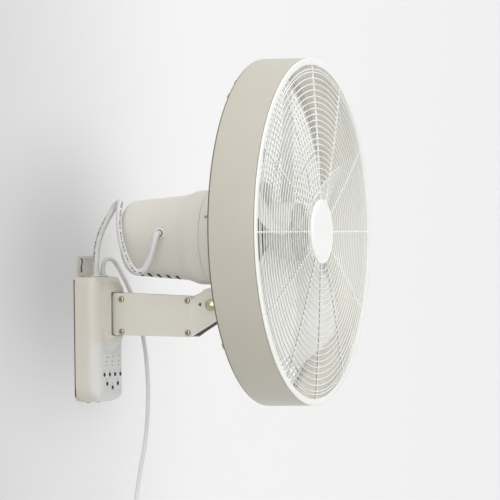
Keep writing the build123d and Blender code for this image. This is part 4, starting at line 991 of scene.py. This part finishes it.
ear = (BOLT_DEPTH, BOLT_Z)
neck_top, neck_bottom = (152, -45.8), (154, -99)
high, low = tangent(neck_top, ear, EAR_RADIUS, -1), tangent(neck_bottom, ear, EAR_RADIUS, 1)
arm_outline = softened([(*neck_top, 6), (42.6, -40, 4), (42.6, -95.4, 4), (*neck_bottom, 1.5)], 6)
for angle in (low + (high - low) * i / 24 for i in range(25)):
    arm_outline.append((ear[0] + EAR_RADIUS * math.cos(angle), ear[1] + EAR_RADIUS * math.sin(angle)))
cover = plate("arm_cover", arm_outline, 2.0, sideways(-13))
alone(cover)
mode("EDIT")
for depth in range(140, 172, 3):
    bpy.ops.mesh.select_all(action="SELECT")
    bpy.ops.mesh.bisect(plane_co=at(0, depth, 0), plane_no=(0, 1, 0))
mode("OBJECT")
eased(cover, 1.2, 3, 50)
for vertex in cover.data.vertices:
    share = min(max((-vertex.co.y / MM - 146) / 20, 0), 1)
    vertex.co.x += 1.8 * MM * share * share * (3 - 2 * share)
stop_place = aimed(at(0, BOLT_DEPTH - 14.7, BOLT_Z + 0.7), (1, 0, 0))
cut(cover, drill(2.1, -20, -8, stop_place))
other = mirrored(cover)
dress(cover, "arm", "paint_arm", "arm_cover_left")
dress(other, "arm", "paint_arm", "arm_cover_right")
other.name = "arm_cover_far"
refined("arm_channel", "arm", "channel_grey", 0.5, drill(2.3, -20, -5, stop_place))
refined("swing_hub", "arm", "paint_arm", 0.5)
refined("tilt_bracket", "head", "paint_arm", 0.5)


def bolt_head(name, side, height, stub):
    """a washer under a domed six-sided head, pointing away from the arm"""
    place = aimed(at(side * 13.9, BOLT_DEPTH, BOLT_Z), (side, 0, 0))
    ring = softened([(3.9, 0, 0), (7.6, 0, 0.3), (7.6, 1.3, 0.5), (3.9, 1.3, 0)], 3)
    washer = turned("washer", ring, place, 56, True)
    angles = [math.radians(60 * i + 14) for i in range(6)]
    hexagon = [(6.2 * math.cos(a), 6.2 * math.sin(a)) for a in angles]
    body = plate("head", hexagon, height - 1.3, place @ Matrix.Translation((0, 0, 0.0013)))
    dome_line = softened([(0, -1, 0), (9, -1, 0), (5.9, height - 1.4, 2.2), (0, height + 0.1, 0)], 6, False)
    cut(body, turned("dome", dome_line, place, 56), way="INTERSECT")
    return joined(name, [washer, eased(body, 0.3, 2, 25), *stub])


shank = drill(3.95, -14.8, 15.4, aimed(at(0, BOLT_DEPTH, BOLT_Z), (1, 0, 0)), 40)
dress(bolt_head("tilt_bolt_head", -1, 5.2, [shank]), "arm", "zinc", "tilt_bolt", degrees=25)
dress(bolt_head("tilt_bolt_nut", 1, 5.2, []), "arm", "zinc", "tilt_nut", degrees=25)

# --- motor housing
shell = softened([(0, 62, 0), (48, 62, 12), (55.6, 146, 30), (COLLAR_RADIUS, 162, 24),
                  (COLLAR_RADIUS, 179.85, 0.3), (58.9, 179.85, 0.3), (58.9, 163, 20), (53.1, 147, 20),
                  (45.5, 64.5, 9), (0, 64.5, 0)], 8, False)
housing = turned("motor_cup", shell, facing(HOUSING_Z), 160)
for i in range(5):
    depth = 83 + 13 * i
    cut(housing, plate("vent", oblong((-22, 22), (depth - 2.1, depth + 2.1), 2.0, steps=5), 30, downward(-0.5)))
cut(housing, drill(5.2, -60, -40, aimed(at(0, 124, 36.5), (1, 0, 0)), 48))
dress(housing, "head", "paint_motor", "motor_housing", degrees=30)
sleeve = [(COLLAR_RADIUS, 180.15, 0.3), (COLLAR_RADIUS, 247.6, 0.6), (58.9, 247.6, 0.3), (58.9, 180.15, 0.3)]
collar = turned("motor_band", softened(sleeve, 4), facing(HOUSING_Z), 160, True)
dress(collar, "head", "paint_motor", "motor_collar")
bush = [(4.9, -3, 0.3), (5.2, 0.2, 0), (4.9, 1.2, 0.6), (5.9, 2.0, 0.8), (7.0, 1.0, 0.7), (7.0, -0.2, 0.2),
        (5.3, -0.3, 0), (5.15, -3, 0.1)]
grommet = turned("cable_bush", softened(bush, 4), aimed(at(-54.2, 124, 36.5), (-1, 0, 0)), 56, True)
dress(grommet, "head", "grommet_white", "cable_grommet")

# --- drum band and front rim
band_line = [(216, 253, 0.8), (225, 253, 2.2), (225, 315.6, 0.5), (222.8, 315.6, 0.5), (222.8, 255.2, 1.5),
             (216, 255.2, 0.8)]
drum = turned("drum_hoop", softened(band_line, 5), facing(FAN_Z), 256, True)
dress(drum, "head", "paint_drum", "drum_band")
rim_line = [(GUARD_RADIUS, 318.6, 0.9), (225, 318.6, 0.9), (225, 316.4, 0.4), (218.3, 316.4, 0.3),
            (218.3, 308.6, 0.6), (GUARD_RADIUS, 308.6, 0.6)]
rim = turned("front_ring", softened(rim_line, 4), facing(FAN_Z), 256, True)
dress(rim, "head", "guard_white", "front_rim")

# --- guards


def dome(radius):
    """how far forward the front guard stands at a radius"""
    return 317.6 + 9.35 * (1 - (radius / GUARD_RADIUS) ** 2)


def hoop(radius, depth, wire, segments=144):
    """a ring of round wire"""
    alone()
    bpy.ops.mesh.primitive_torus_add(
        major_radius=radius * MM, minor_radius=wire * MM, major_segments=segments, minor_segments=8,
        location=at(0, depth, FAN_Z), rotation=(math.pi / 2, 0, 0))
    return settled(bpy.context.object)


def rod_line(points, wire):
    """a bent wire at the right of the fan's axis, given by (radius, depth)"""
    return tube("wire", [at(radius, depth, FAN_Z) for radius, depth in points], wire, 6)


def wires_with_painted_shade(name, wires, start, least=0.2, most=1.0):
    """the wires as one piece, with painted shade on the side that faces the wall, least at the upper right"""
    group = joined(name, wires)
    layer = group.data.attributes.new("dust", "FLOAT", "POINT")
    for vertex, value in zip(group.data.vertices, layer.data):
        place = vertex.co.x / MM * 0.75 + (vertex.co.z / MM - FAN_Z) * 0.5
        share = min(max(0.5 - place / 60, 0), 1) * (most - least) + least
        value.value = min(max((vertex.normal.y + start) / 0.6, 0), 1) * share
    return group


radii = [210.7] + [206.8 - RING_PITCH * k for k in range(21)]
rings = [hoop(radius, dome(radius) + RING_WIRE, RING_WIRE) for radius in radii]
spoke = rod_line([(r, dome(r) - 0.4) for r in (36, 60, 100, 140, 180, 205, 213)] + [(215.9, 316.5)], 1.2)
spokes = around(spoke, [30 * i for i in range(12)])
front_guard = joined("front_wire_guard", [
    wires_with_painted_shade("front_rings", rings, 0.3, 0.1), wires_with_painted_shade("front_spokes", spokes, 0.25, 0.0)])
dress(front_guard, "head", "guard_white", "front_guard", degrees=60)


def lean(radius):
    """how far forward the rear guard stands at a radius"""
    return 249.0 + 6.6 * (radius - 64) / 152


radii = [70 + RING_PITCH * k for k in range(19)]
rings = [hoop(radius, lean(radius) + 0.9, RING_WIRE, 128) for radius in radii]
rings.append(hoop(220.2, 256.6, 1.3, 160))
spoke = rod_line([(r, lean(r) - 0.6) for r in (60, 90, 130, 170, 205)] + [(216, 255.6), (220.2, 256.4)], 0.95)
disc = [(10, 247.8, 0.3), (50, 247.8, 3), (53, 249.0, 3), (66, 249.0, 0.5), (66, 249.6, 0.3), (52, 249.7, 2),
        (49, 249.0, 2), (10, 249.0, 0.3)]
hub_plate = turned("hub_plate", softened(disc, 4), facing(FAN_Z), 128, True)
spokes = around(spoke, [30 * i for i in range(12)])
rear_guard = joined("rear_wire_guard", [
    wires_with_painted_shade("rear_rings", rings, 0.6), wires_with_painted_shade("rear_spokes", spokes, 0.6), hub_plate])
dress(rear_guard, "head", "guard_white", "rear_guard", degrees=60)
lid = [(0, 326.4, 0), (41.6, 326.4, 0.4), (42, 329.4, 1.6), (38.5, 329.9, 0.6), (37.7, 329.3, 0.4),
       (36.9, 329.75, 0.6), (0, 330, 0)]
badge = turned("centre_badge", softened(lid, 5, False), facing(FAN_Z), 128)
dress(badge, "head", "badge_white", "guard_badge")
tongue = [(215.4, 250.9, 0.6), (222.6, 250.9, 0.9), (223.4, 253.0, 0.3), (217.5, 253.0, 0.2), (217.2, 252.0, 0.2),
          (215.4, 252.0, 0.3)]
clip = eased(plate("clip", softened(tongue, 3), 7.6, downward(FAN_Z + 3.8)), 0.35, 2, 40)
dress(joined("guard_clips", around(clip, [60.5, 52, 119.5, 128, 220.7, 319.3])), "head", "zinc", "rim_clips")

# --- rotor
stations = [(38.0, 15.0, 266.0, 294.0, 0.0), (60.0, 23.5, 264.0, 297.0, 2.4), (85.0, 32.0, 262.5, 300.0, 4.0),
            (110.0, 39.0, 261.6, 302.4, 5.2), (135.0, 44.0, 261.0, 304.0, 6.0), (160.0, 45.5, 261.3, 303.8, 5.2),
            (193.5, 44.0, 262.0, 303.0, 4.0)]


def station(radius):
    """half chord, front and rear depth and shift of the blade at a radius"""
    for one, other in zip(stations, stations[1:]):
        if radius <= other[0]:
            share = (radius - one[0]) / (other[0] - one[0])
            return [a + (b - a) * share for a, b in zip(one[1:], other[1:])]
    return stations[-1][1:]


def tip(share):
    """how far out the blade reaches along its chord: the corners are rounded, most at the trailing edge"""
    for corner, start, way in ((30.0, 0.66, 1), (14.0, 0.16, -1)):
        past = (share - start) * way / (1 - start if way > 0 else start)
        if past > 0:
            return TIP_RADIUS - corner * (1 - math.sqrt(max(1 - past * past, 0)))
    return TIP_RADIUS


alone()
bpy.ops.mesh.primitive_grid_add(x_subdivisions=40, y_subdivisions=36, size=1)
blade = bpy.context.object
for vertex in blade.data.vertices:
    along, share = vertex.co.y + 0.5, vertex.co.x + 0.5
    radius = 38 + along * (tip(share) - 38)
    half, lead, trail, shift = station(radius)
    slope = ((2 * share - 1) * half + shift) / radius
    angle = slope if radius > 60 else math.asin(max(min(slope, 1), -1))
    bow = 0.16 * (trail - lead) * (1 - (2 * share - 1) ** 2)
    depth = lead + (trail - lead) * share - bow + 1.1
    vertex.co = at(radius * math.cos(angle), depth, FAN_Z + radius * math.sin(angle))
modify(blade, "SOLIDIFY", thickness=1.9 * MM, offset=0.0)
eased(blade, 0.55, 2, 60)
blades = around(blade, [14 + 72 * i for i in range(5)])
cup = [(4.05, 266, 0), (9, 266, 0.4), (9, 287.4, 0), (37.4, 287.4, 2), (37.4, 262, 0.4), (40, 262, 0.8),
       (40, 297, 1.6), (37.2, 297, 0.8), (36.6, 290.4, 2), (4.05, 290, 0)]
hub = turned("hub", softened(cup, 4), facing(FAN_Z), 128, True)
rib = eased(brick("rib", (12.5, 37.2), (289, 294.5), (FAN_Z - 0.8, FAN_Z + 0.8)), 0.3)
ribs = around(rib, [36 * i for i in range(10)])
dress(joined("bladed_rotor", [hub, *blades, *ribs]), "rotor", "rotor_white", "fan_rotor")
nut_line = [(4.05, 290.2, 0), (11.6, 290.2, 0.4), (11.6, 295.4, 1.2), (7, 296, 0.5), (4.05, 296, 0)]
knob = turned("knob", softened(nut_line, 4), facing(FAN_Z), 96, True)
for way in (math.radians(45 * i) for i in range(8)):
    cut(knob, drill(2.2, 285, 300, facing(FAN_Z + 13 * math.sin(way), 0, 13 * math.cos(way))))
dress(eased(knob, 0.25, 2, 50), "rotor", "rotor_white", "rotor_nut")

# --- pieces kept as they are get their finish
for part in frame["record"]["subparts"]:
    node = frame["nodes"][part["node"]]
    for place in node.material_slots:
        place.material = finishes[part["material_slot"]]
    if not node.material_slots:
        node.data.materials.append(finishes[part["material_slot"]])
